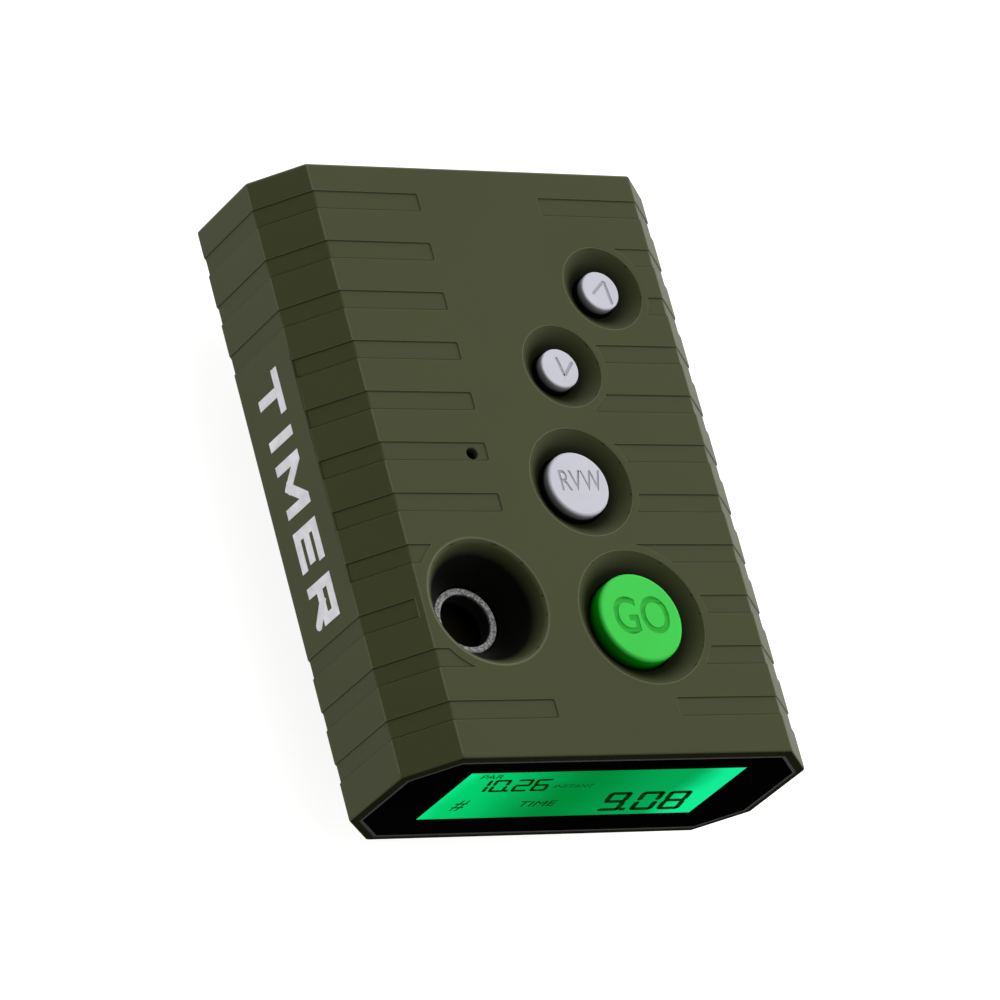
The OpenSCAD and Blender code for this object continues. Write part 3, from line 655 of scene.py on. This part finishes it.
def floor_finish():
    """White ground that glows a little, so that it stays white in the shade."""
    finish = moulded_finish(
        "pale_floor", (0.45, 0.45, 0.45), (0.44, 0.44, 0.44), rough=(0.7, 0.8), mottle=3, grain=200,
        bump=0.0, specular=0.1
    )
    shader = finish.node_tree.nodes["Principled BSDF"]
    shader.inputs["Emission Color"].default_value = (1, 1, 1, 1)
    shader.inputs["Emission Strength"].default_value = FLOOR_GLOW
    return finish


def dress(piece, finish):
    piece.data.materials.clear()
    piece.data.materials.append(finish)


def dress_node(node, finish):
    """A CAD node keeps its mesh: only its material slots change."""
    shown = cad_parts[node]
    if not shown.material_slots:
        shown.data.materials.append(finish)
    for place in shown.material_slots:
        place.material = finish


# ---------- sleeve ----------

def recess_tool(node):
    """Open cone with a rounded rim and a straight hole below it."""
    rim, hole, depth, rim_round, _ring = RECESSES[node]
    slope = math.atan2(depth, rim - hole)
    reach = rim_round * math.tan(slope / 2)
    foot = TOP - depth
    profile = [(hole, foot - LIP - MM), (hole, foot - 0.15 * MM), (hole + 0.12 * MM, foot + 0.08 * MM)]
    middle = (rim + reach, TOP - rim_round)
    for step in range(7):
        angle = slope * (1 - step / 6)
        profile.append((middle[0] - rim_round * math.sin(angle), middle[1] + rim_round * math.cos(angle)))
    profile[-1] = (rim + reach, TOP + 0.004 * MM)
    profile.append((rim + reach + 0.3 * MM, TOP + 0.5 * MM))
    return lathe(node + "_tool", centre_of(node), profile)


def recess_seat(node):
    """The sleeve's own wall where it dips into a recess, taken out of the hollow."""
    recess = RECESSES[node]
    slope = (recess.rim - recess.hole) / recess.depth
    low = TOP - recess.depth - LIP
    high = TOP - SLEEVE_WALL + 0.5 * MM
    foot_radius = recess.hole + SKIN
    return lathe(node + "_seat", centre_of(node), [
        (foot_radius - slope * LIP, low), (foot_radius + slope * (high - TOP + recess.depth), high)
    ])


def grip_tool():
    """All grip pockets as one tool: bars that stop short of every recess and follow the chamfers."""
    bars = []
    low, high = BACK + SLEEVE_WALL + CHAMFER / 2, TOP + MM
    for row in range(ROWS):
        y = ROW_START - row * ROW_PITCH
        near, far = y - POCKET_HEIGHT / 2, y + POCKET_HEIGHT / 2
        for side in (-1, 1):
            ends = sorted((side * POCKET_INNER, side * (HALF_WIDTH + MM)))
            bar = add_block("bar", (ends[0], near, low), (ends[1], far, high))
            inner = side * POCKET_INNER
            mark_edges(bar, lambda a, b: abs(a.x - inner) < MM / 10 and abs(a.z - b.z) > MM)
            round_marked(POCKET_CORNER, 3)
            bars.append(bar)
    tool = join(bars, "grip_tool")
    core = eight_sided("core", POCKET_DEPTH, NEAR + MM / 2, FAR - MM / 2)
    carve(tool, round_long_edges(core, LONG_EDGE_ROUND))
    above = TOP + 2 * MM
    for node, recess in RECESSES.items():
        centre = centre_of(node)
        reach = recess.rim + recess.ring
        carve(tool, add_rod("clear_ring", (*centre.xy, BACK), (*centre.xy, above), reach))
        near_side, far_side = sorted((0, centre.x))
        carve(tool, add_block(
            "clear_middle", (near_side, centre.y - reach, BACK), (far_side, centre.y + reach, above)
        ))
    buzzer = centre_of("buzzer_ring")
    left, half_band = CHAMFER - HALF_WIDTH - 0.7 * MM, 3.1 * MM
    carve(tool, add_block(
        "clear_chamfer", (left, buzzer.y - half_band, BACK), (0, buzzer.y + half_band, above)
    ))
    carve(tool, add_block(
        "name_field",
        (-HALF_WIDTH - 2 * MM, -NAME_FIELD, BACK),
        (-HALF_WIDTH + POCKET_DEPTH + 0.1 * MM, NAME_FIELD, TOP - CHAMFER)
    ))
    return tool


def door_window_tool():
    """Opening with round upper corners for the battery door, and a slot below it for the hinge."""
    low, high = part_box("battery_door")
    opening_low = (low.x - DOOR_GAP, FAR - 3 * MM, low.z + DOOR_SILL)
    opening_high = (high.x + DOOR_GAP, FAR + MM, high.z + DOOR_GAP)
    tool = add_block("door_window", opening_low, opening_high)
    mark_edges(tool, lambda a, b: abs(a.y - b.y) > MM and a.z > BODY_CENTRE.z)
    round_marked(2 * MM, 3)
    pin_low, pin_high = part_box("door_pin")
    slot_low = (pin_low.x - DOOR_GAP, FAR - 3 * MM, BACK + HINGE_SLOT_FOOT)
    slot_high = (pin_high.x + DOOR_GAP, FAR + MM, low.z + DOOR_SILL + MM)
    return weld(tool, add_block("hinge_slot", slot_low, slot_high))


def clip_window_tool():
    """Opening in the back through which the clip's base is screwed to the case."""
    low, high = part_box("clip_bracket")
    tool = add_block(
        "clip_window",
        (low.x - CLIP_GAP, CLIP_WINDOW_NEAR, BACK - MM),
        (high.x + CLIP_GAP, CLIP_WINDOW_FAR, BACK + SLEEVE_WALL + MM / 2)
    )
    mark_edges(tool, lambda a, b: abs(a.z - b.z) > MM)
    round_marked(0.8 * MM, 3)
    return tool


def make_sleeve():
    """Rubber boot, closed at the far end, with its recesses, pockets and openings."""
    sleeve = eight_sided("rubber_sleeve", 0, NEAR, FAR)
    round_long_edges(sleeve, LONG_EDGE_ROUND)
    round_end(sleeve, NEAR, END_EDGE_ROUND)
    round_end(sleeve, FAR, END_EDGE_ROUND)
    hollow = eight_sided("hollow", SLEEVE_WALL, NEAR - MM, FAR - SLEEVE_WALL)
    for node in RECESSES:
        carve(hollow, recess_seat(node))
    carve(sleeve, hollow)
    carve(sleeve, grip_tool())
    for node in RECESSES:
        carve(sleeve, recess_tool(node))
    carve(sleeve, lathe("mic_tool", centre_of("microphone"), [
        (0.95 * MM, TOP - 3 * MM), (0.95 * MM, TOP - POCKET_DEPTH - 0.12 * MM),
        (1.1 * MM, TOP - POCKET_DEPTH + 0.02 * MM), (1.1 * MM, TOP + MM)
    ], 40))
    carve(sleeve, door_window_tool())
    carve(sleeve, clip_window_tool())
    tidy_mesh(sleeve)
    soften(sleeve, FINE_ROUND, 2, 40)
    even_shading(sleeve, 40)
    dress(sleeve, rubber_finish())
    sleeve.data.materials.append(sleeve_end_shade_finish())
    # The flat faces of the cut end take the painted-shade finish.
    for face in sleeve.data.polygons:
        if face.normal.y < -0.8 and face.center.y < NEAR + 0.3 * MM:
            face.material_index = 1
    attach(sleeve, "case")
    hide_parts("sleeve")


# ---------- buttons ----------

# Legends in mm from a cap's centre: an arrow as points, or a word and its left, right, lower and upper edge
ARROW_UP = [(-1.7, -0.62), (1.05, 1.7), (1.5, -2.45)]
ARROW_DOWN = [(-0.3, 1.9), (0.45, -1.35), (2.55, 1.1)]
START_WORD = ("GO", -4.95, 5.2, -2.8, 3.5)
REVIEW_WORD = ("RVW", -3.4, 4.35, -1.2, 2.3)


def leg_tool(start, end, centre, top, width, depth):
    """A straight groove with round ends, as a cutter."""
    start, end = Vector(start) * MM, Vector(end) * MM
    bar = add_block("leg", (0, -width / 2, top - depth), ((end - start).length, width / 2, top + MM))
    mark_edges(bar, lambda a, b: abs(a.z - b.z) > MM / 2)
    round_marked(width * 0.49, 3)
    along = end - start
    turn = Matrix.Rotation(math.atan2(along.y, along.x), 4, "Z")
    bar.data.transform(Matrix.Translation((centre.x + start.x, centre.y + start.y, 0)) @ turn)
    return bar


def legend_tools(legend, centre, top, width, depth):
    """Cutters for an arrow, given as points, or for a short word."""
    if isinstance(legend, list):
        return [leg_tool(a, b, centre, top, width, depth) for a, b in zip(legend, legend[1:])]
    text, left, right, lower, upper = legend
    place = Matrix.Translation((centre.x, centre.y, top - depth + MM))
    word = written(
        text, left * MM, right * MM, lower * MM, (upper - lower) * MM, 2 * MM, "word", place, width
    )
    return [tidy_mesh(word, dissolve=False)]


def make_cap(node, body, legend, stroke, finish):
    """Push cap with a rounded crown, a retaining flange and an engraved legend.

    The stroke is an arrow's width, or the weight that is added to a word.
    """
    low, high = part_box(node)
    centre = centre_of(node)
    radius, crown = CAP_RADIUS[node], CAP_ROUND[node]
    flange = (high.x - low.x) / 2
    profile = [(flange, low.z), (flange, low.z + MM), (radius, low.z + MM), (radius, high.z - crown)]
    for step in range(1, 7):
        angle = math.radians(90 * step / 6)
        profile.append((radius - crown * (1 - math.cos(angle)), high.z - crown * (1 - math.sin(angle))))
    cap = lathe(node + "_top", centre, profile, 128)
    for tool in legend_tools(legend, centre, high.z, stroke, LEGEND_DEPTH):
        carve(cap, tool)
    tidy_mesh(cap)
    soften(cap, 0.05 * MM, 1, 50)
    even_shading(cap, 45)
    dress(cap, finish)
    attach(cap, body)
    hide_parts(node)


def make_buttons():
    green = (0.042, 0.62, 0.07)
    # Painted shade down the green cap's side: a deeper green, then very dark.
    green_side_shade = [(0.15, 0.9, (0.003, 0.5, 0.006)), (1.4, 3.0, (0.002, 0.04, 0.003))]
    # The legend tone is painted shade in the engraved grooves.
    go_finish = cap_finish("green_cap", green, green_side_shade, (0.012, 0.4, 0.025), "go_cap")
    make_cap("go_cap", "go_button", START_WORD, 0.012, go_finish)
    white = (0.6, 0.6, 0.67)
    # Painted shade down the white caps' sides, to very dark.
    white_side_shade = [(0.3, 1.7, (0.006, 0.006, 0.009))]
    for name, legend, stroke in [
        ("review", REVIEW_WORD, 0.0), ("down", ARROW_DOWN, 0.5 * MM), ("up", ARROW_UP, 0.5 * MM)
    ]:
        node = name + "_cap"
        # The legend tone is painted shade in the engraved grooves.
        finish = cap_finish("white_" + name, white, white_side_shade, (0.38, 0.38, 0.43), node)
        make_cap(node, name + "_button", legend, stroke, finish)


# ---------- buzzer ----------

def make_buzzer_ring():
    """Collar round the buzzer's mouth, with its edges broken."""
    low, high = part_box("buzzer_ring")
    centre = centre_of("buzzer_ring")
    outer = (high.x - low.x) / 2
    inner = 4.4 * MM
    edge = 0.18 * MM
    ring = lathe("buzzer_collar", centre, [
        (outer, low.z), (outer, high.z - edge), (outer - edge * 0.3, high.z - edge * 0.3),
        (outer - edge, high.z)
    ])
    bore = lathe("bore", centre, [
        (inner, low.z - MM), (inner, high.z - edge), (inner + edge * 0.3, high.z - edge * 0.3),
        (inner + edge, high.z + 0.001 * MM), (inner + edge * 2, high.z + MM)
    ])
    carve(ring, bore)
    smooth(tidy_mesh(ring), 40)
    dress(ring, speckled_finish())
    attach(ring, "case")
    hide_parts("buzzer_ring")


# ---------- display ----------

def make_window():
    """Black-printed window plate with the lit field let into it."""
    low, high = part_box("display_window")
    inset = HALF_WIDTH - high.x
    plate = eight_sided("window_plate", inset, low.y, high.y)
    round_end(plate, low.y, 0.12 * MM)
    lit = add_block(
        "lit_opening",
        (LIT_LEFT, low.y - MM, BACK + LIT_CENTRE - LIT_HEIGHT / 2),
        (LIT_RIGHT, high.y + MM, BACK + LIT_CENTRE + LIT_HEIGHT / 2)
    )
    carve(plate, lit)
    smooth(tidy_mesh(plate), 30)
    dress(plate, window_finish())
    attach(plate, "case")
    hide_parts("display_window")


def make_lit_field():
    """The lit glass in the window's opening, and the wider glass that carries it."""
    low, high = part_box("lcd_glass")
    gap = 0.01 * MM
    field = add_block(
        "lit_field",
        (LIT_LEFT + gap, NEAR + LIT_DEPTH, BACK + LIT_CENTRE - LIT_HEIGHT / 2 + gap),
        (LIT_RIGHT - gap, NEAR + LIT_BACK, BACK + LIT_CENTRE + LIT_HEIGHT / 2 - gap)
    )
    carrier = add_block("carrier", (low.x, NEAR + CARRIER_FRONT, low.z), (high.x, high.y, high.z))
    field = join([field, carrier], "lit_field")
    soften(field, 0.03 * MM, 1)
    dress(field, lit_finish())
    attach(field, "case")
    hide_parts("lcd_glass")


# The bars that each figure shows
SEGMENTS = {"0": "abcdef", "1": "bc", "2": "abged", "6": "acdefg", "8": "abcdefg", "9": "abcdfg"}
BAR_WEIGHT = 0.14
INK_FRONT = NEAR + LIT_DEPTH - 0.02 * MM
INK_BACK = NEAR + LIT_DEPTH + 0.02 * MM
LEAN = -0.2

# Marks, each with its left and right edge, its foot above the marks' base line and its height, in mm
MARK_BASE = BACK + 0.5 * MM
FIGURE_ROWS = [("10.26", -22.2, -8.1, 16.8, 4.5), ("9.08", 6.45, 22.15, 8.45, 7.1)]
DARK_WORDS = [
    ("PAR", -23.0, -19.0, 21.75, 1.4), ("#", -21.8, -19.6, 9.9, 3.9), ("TIME", -9.9, -3.1, 10.95, 2.0)
]
FAINT_WORD = ("INSTANT", -7.3, 0.0, 17.75, 1.25)


def segment_bar(low, high, across):
    """One bar of a digit, with pointed ends."""
    bar = add_block("bar", (low[0], INK_FRONT, low[1]), (high[0], INK_BACK, high[1]))
    thick = (high[1] - low[1]) if across else (high[0] - low[0])
    if across:
        mark_edges(bar, lambda a, b: abs(a.y - b.y) > MM / 1000 and abs(a.z - b.z) < MM / 1000)
    else:
        mark_edges(bar, lambda a, b: abs(a.y - b.y) > MM / 1000 and abs(a.x - b.x) < MM / 1000)
    round_marked(thick * 0.42, 1)
    return bar


def digit_bars(figure, left, base, width, height, thick):
    gap = thick * 0.16
    half = height / 2
    right = left + width
    lines = {
        "a": ((left + gap, base + height - thick), (right - gap, base + height), True),
        "g": ((left + gap, base + half - thick / 2), (right - gap, base + half + thick / 2), True),
        "d": ((left + gap, base), (right - gap, base + thick), True),
        "f": ((left, base + half + gap), (left + thick, base + height - gap), False),
        "b": ((right - thick, base + half + gap), (right, base + height - gap), False),
        "e": ((left, base + gap), (left + thick, base + half - gap), False),
        "c": ((right - thick, base + gap), (right, base + half - gap), False),
    }
    return [segment_bar(*lines[key]) for key in SEGMENTS[figure]]


def figures(text, left, right, base, height):
    """A row of seven-bar figures between two x places; the point takes a small space of its own."""
    thick = height * BAR_WEIGHT
    space = thick * 0.75
    wide = len(text.replace(".", ""))
    width = (right - left - (wide - 1) * space - text.count(".") * thick) / wide
    bars, x = [], left
    for sign in text:
        if sign == ".":
            point_low = (x - space, INK_FRONT, base)
            bars.append(add_block("point", point_low, (x - space + thick, INK_BACK, base + thick)))
            x += thick
            continue
        bars += digit_bars(sign, x, base, width, height, thick)
        x += width + space
    row = join(bars, "figures")
    lean = Matrix.Identity(4)
    lean[0][2] = LEAN
    lean[0][3] = -LEAN * base
    row.data.transform(lean)
    return row


def display_word(name, text, left, right, foot, height):
    upright = Matrix(((1, 0, 0, 0), (0, 0, -1, NEAR + LIT_DEPTH), (0, 1, 0, 0), (0, 0, 0, 1)))
    thin = 0.04 * MM
    return written(text, left * MM, right * MM, MARK_BASE + foot * MM, height * MM, thin, name, upright)


def make_display_marks():
    """Figures and words of the display."""
    marks = []
    for text, left, right, foot, height in FIGURE_ROWS:
        marks.append(figures(text, left * MM, right * MM, MARK_BASE + foot * MM, height * MM))
    for word in DARK_WORDS:
        marks.append(display_word("word", *word))
    ink = join(marks, "display_marks")
    dark = simple_finish("display_ink", (0.004, 0.034, 0.004), rough=(0.5, 0.6), bump=0.0, specular=0.0)
    soft = display_word("display_faint_mark", *FAINT_WORD)
    for mark, finish in ((ink, dark), (soft, faint_ink_finish())):
        dress(mark, finish)
        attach(mark, "case")


# ---------- side print ----------

# Strokes of the side print's letters, from point to point in a box 1 wide and 1 high
LETTERS = {
    "T": [((0, 1), (1, 1)), ((0.5, 0.8), (0.5, 0))],
    "I": [((0.5, 1), (0.5, 0))],
    "M": [((0, 0), (0, 1)), ((0.06, 1), (0.5, 0.25)), ((0.5, 0.25), (0.94, 1)), ((1, 1), (1, 0))],
    "E": [((0, 0), (0, 1)), ((0.25, 1), (1, 1)), ((0.25, 0.5), (0.9, 0.5)), ((0.25, 0), (1, 0))],
    "R": [
        ((0, 0), (0, 1)), ((0.2, 1), (1, 1)), ((1, 1), (1, 0.45)), ((1, 0.45), (0.2, 0.45)),
        ((0.5, 0.45), (1, 0))
    ],
}
LETTER_WIDTHS = {"T": 7.4, "I": 1.8, "M": 9.0, "E": 6.8, "R": 7.2}
PRINT_STROKE = 1.7 * MM
PRINT_HEIGHT = 6.9 * MM
PRINT_BASE = BACK + 11.6 * MM
PRINT_HALF = 21 * MM


def letter_strokes(letter, left, width):
    """Flat printed bars of one letter. Runs along -Y and +Z on the left side."""
    half = PRINT_STROKE / 2
    inner_width, inner_height = width - PRINT_STROKE, PRINT_HEIGHT - PRINT_STROKE
    strokes = []
    for start, end in LETTERS[letter]:
        points = [
            Vector((left + half + u * inner_width, PRINT_BASE + half + v * inner_height))
            for u, v in (start, end)
        ]
        along = points[1] - points[0]
        bar = add_block("stroke", (-half, -half, -0.03 * MM), (along.length + half, half, 0.03 * MM))
        turn = Matrix.Rotation(math.atan2(along.y, along.x), 4, "Z")
        bar.data.transform(Matrix.Translation((*points[0], 0)) @ turn)
        slanted = abs(along.x) > MM / 10 and abs(along.y) > MM / 10
        if slanted:
            letter_high = (left + width, PRINT_BASE + PRINT_HEIGHT, MM)
            combine(bar, add_block("letter_box", (left, PRINT_BASE, -MM), letter_high), "INTERSECT")
        strokes.append(bar)
    return strokes


def make_side_print():
    """Plain white word printed on the smooth field of the left side."""
    word = "TIMER"
    widths = [LETTER_WIDTHS[letter] * MM for letter in word]
    space = (2 * PRINT_HALF - sum(widths)) / (len(word) - 1)
    left = -PRINT_HALF
    printed = None
    for letter, width in zip(word, widths):
        for stroke in letter_strokes(letter, left, width):
            printed = weld(printed, stroke) if printed else stroke
        left += width + space
    across = Matrix(((0, 0, -1, -HALF_WIDTH), (-1, 0, 0, 0), (0, 1, 0, 0), (0, 0, 0, 1)))
    printed.data.transform(across)
    printed.name = printed.data.name = "side_print"
    ink = simple_finish("white_print", (0.82, 0.82, 0.86), rough=(0.45, 0.6), mottle=400, bump=0.05)
    dress(printed, ink)
    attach(printed, "case")


# ---------- hardware ----------

def softened_copy(node, name, body, width, finish):
    """A CAD piece with its sharp edges broken, as pressed and moulded parts have them."""
    take(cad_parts[node])
    bpy.ops.object.duplicate()
    piece = bpy.context.object
    piece.parent = None
    for key in list(piece.keys()):
        del piece[key]
    settle(piece, name)
    bpy.ops.object.mode_set(mode="EDIT")
    bpy.ops.mesh.select_all(action="SELECT")
    bpy.ops.mesh.remove_doubles(threshold=0.001 * MM)
    bpy.ops.mesh.dissolve_limited(angle_limit=math.radians(0.5))
    bpy.ops.object.mode_set(mode="OBJECT")
    soften(piece, width, angle=30)
    smooth(piece, 35)
    dress(piece, finish)
    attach(piece, body)
    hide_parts(node)


def dress_hardware():
    case = simple_finish(
        "case_plastic", (0.008, 0.008, 0.0085), rough=(0.4, 0.6), grain=3000, bump=0.4, specular=0.04
    )
    black_steel = simple_finish(
        "blackened_steel", (0.03, 0.03, 0.032), rough=(0.32, 0.5), mottle=90, bump=0.15, metallic=0.6
    )
    steel = simple_finish("plated_steel", (0.62, 0.62, 0.63), rough=(0.2, 0.36), mottle=200, metallic=1.0)
    softened_copy("battery_door", "door_cover", "door", 0.18 * MM, case)
    softened_copy("clip_arm", "clip_spring_arm", "clip", 0.25 * MM, black_steel)
    softened_copy("clip_bracket", "clip_base", "case", 0.15 * MM, black_steel)
    softened_copy("clip_screws", "clip_screw_set", "case", 0.06 * MM, steel)
    softened_copy("clip_pin", "clip_hinge_pin", "case", 0.12 * MM, steel)
    for node in ("front_shell", "rear_shell", "display_holder"):
        dress_node(node, case)
    for node in (
        "clip_spring", "door_pin", "case_screws", "board_screws", "crystal", "battery_terminals",
        "snap_contacts"
    ):
        dress_node(node, steel)


def dress_inside():
    board = simple_finish("solder_mask", (0.015, 0.11, 0.04), rough=(0.25, 0.4), mottle=150, bump=0.1)
    epoxy = simple_finish("black_epoxy", (0.02, 0.02, 0.021), rough=(0.45, 0.6), bump=0.3)
    nylon = simple_finish("ivory_nylon", (0.66, 0.62, 0.5), rough=(0.4, 0.5), bump=0.1)
    red = simple_finish("red_insulation", (0.5, 0.02, 0.015), rough=(0.4, 0.5), bump=0.1)
    rubber = simple_finish("black_rubber", (0.02, 0.02, 0.02), rough=(0.6, 0.75), bump=0.3)
    alloy = simple_finish("drawn_alloy", (0.72, 0.73, 0.74), rough=(0.25, 0.4), metallic=1.0)
    foam = simple_finish("foam", (0.05, 0.05, 0.05), rough=(0.85, 0.95), grain=900, bump=1.0)
    finishes = {
        board: ("main_board", "display_board"),
        epoxy: ("processor_chip", "board_header", "go_switch", "review_switch", "down_switch", "up_switch",
                "buzzer_body"),
        nylon: ("go_plunger", "review_plunger", "down_plunger", "up_plunger"),
        red: ("battery_leads", "mic_leads", "buzzer_leads"),
        rubber: ("mic_boot", "battery_snap"),
        alloy: ("microphone", "capacitors"),
        simple_finish("diffuser", (0.82, 0.88, 0.82), rough=(0.3, 0.4)): ("backlight_guide",),
        simple_finish("led_epoxy", (0.55, 0.9, 0.55), rough=(0.15, 0.25)): ("backlight_leds",),
        simple_finish("elastomer", (0.7, 0.5, 0.55), rough=(0.6, 0.7)): ("lcd_connectors",),
        simple_finish("fired_ceramic", (0.5, 0.38, 0.25), rough=(0.4, 0.5)): ("smd_parts",),
        simple_finish("copper_winding", (0.7, 0.34, 0.18), rough=(0.3, 0.4), metallic=1.0): ("boost_coil",),
        # Painted shade: the buzzer disc is darkened so that it reads dark through the bore.
        simple_finish("shade_darkened_brass", (0.02, 0.016, 0.008), rough=(0.6, 0.7), specular=0.1): ("buzzer_disc",),
        simple_finish("battery_jacket", (0.03, 0.05, 0.06), rough=(0.3, 0.4), metallic=0.3): ("battery",),
        foam: ("battery_foam",),
    }
    for finish, nodes in finishes.items():
        for node in nodes:
            dress_node(node, finish)


# ---------- studio ----------

def make_floor():
    let_go()
    bpy.ops.mesh.primitive_plane_add(size=8, location=(0, 0, 0))
    floor = settle(bpy.context.object, "floor")
    dress(floor, floor_finish())


def make_world():
    """A white studio that is brightest low on the right, so that edges catch a thin line of light."""
    world = bpy.data.worlds.new("studio")
    bpy.context.scene.world = world
    world.use_nodes = True
    nodes, links = world.node_tree.nodes, world.node_tree.links
    background = nodes["Background"]
    place = nodes.new("ShaderNodeTexCoord")
    toward = nodes.new("ShaderNodeVectorMath")
    toward.operation = "DOT_PRODUCT"
    toward.inputs[1].default_value = Vector((0.85, 0.45, 0.25)).normalized()
    links.new(place.outputs["Generated"], toward.inputs[0])
    side = nodes.new("ShaderNodeMapRange")
    side.interpolation_type = "SMOOTHSTEP"
    side.inputs["From Min"].default_value = -0.5
    side.inputs["From Max"].default_value = 0.8
    side.inputs["To Min"].default_value = WORLD_DIM
    side.inputs["To Max"].default_value = WORLD_BRIGHT
    links.new(toward.outputs["Value"], side.inputs["Value"])
    apart = nodes.new("ShaderNodeSeparateXYZ")
    links.new(place.outputs["Generated"], apart.inputs["Vector"])
    rise = nodes.new("ShaderNodeValToRGB")
    rise.color_ramp.interpolation = "EASE"
    stops = rise.color_ramp.elements
    stops[0].position = 0.0
    stops[0].color = (1, 1, 1, 1)
    stops[1].position = 1.0
    stops[1].color = (1, 1, 1, 1)
    for position, level in ((0.35, 0.9), (0.7, 0.55)):
        stop = stops.new(position)
        stop.color = (level, level, level, 1)
    links.new(apart.outputs["Z"], rise.inputs["Fac"])
    level = nodes.new("ShaderNodeMath")
    level.operation = "MULTIPLY"
    links.new(side.outputs["Result"], level.inputs[0])
    links.new(rise.outputs["Color"], level.inputs[1])
    links.new(level.outputs["Value"], background.inputs["Strength"])
    background.inputs["Color"].default_value = (1, 1, 1, 1)


def add_softbox(name, place, aim, size, power):
    light = bpy.data.lights.new(name, "AREA")
    light.shape = "RECTANGLE"
    light.size, light.size_y = size
    light.energy = power
    lamp = bpy.data.objects.new(name, light)
    bpy.context.scene.collection.objects.link(lamp)
    lamp.location = place
    lamp.rotation_euler = (Vector(aim) - Vector(place)).to_track_quat("-Z", "Y").to_euler()


def make_camera():
    azimuth, elevation = math.radians(CAMERA_AZIMUTH), math.radians(CAMERA_ELEVATION)
    level = math.cos(elevation)
    back = Vector((math.sin(azimuth) * level, -math.cos(azimuth) * level, math.sin(elevation)))
    lens = bpy.data.cameras.new("camera")
    lens.lens = LENS
    lens.sensor_width = 36
    lens.clip_start = 0.05
    camera = bpy.data.objects.new("camera", lens)
    bpy.context.scene.collection.objects.link(camera)
    camera.rotation_mode = "QUATERNION"
    camera.location = BODY_CENTRE + back * CAMERA_DISTANCE
    roll = Quaternion((0, 0, 1), math.radians(CAMERA_ROLL))
    camera.rotation_quaternion = (-back).to_track_quat("-Z", "Y") @ roll
    bpy.context.scene.camera = camera


make_camera()
make_sleeve()
make_buttons()
make_buzzer_ring()
make_window()
make_lit_field()
make_display_marks()
make_side_print()
dress_hardware()
dress_inside()
make_floor()
make_world()
add_softbox("key_light", (0.5, 0.35, 0.7), BODY_CENTRE, (0.9, 0.9), 2)
bpy.context.scene.view_settings.view_transform = "Standard"
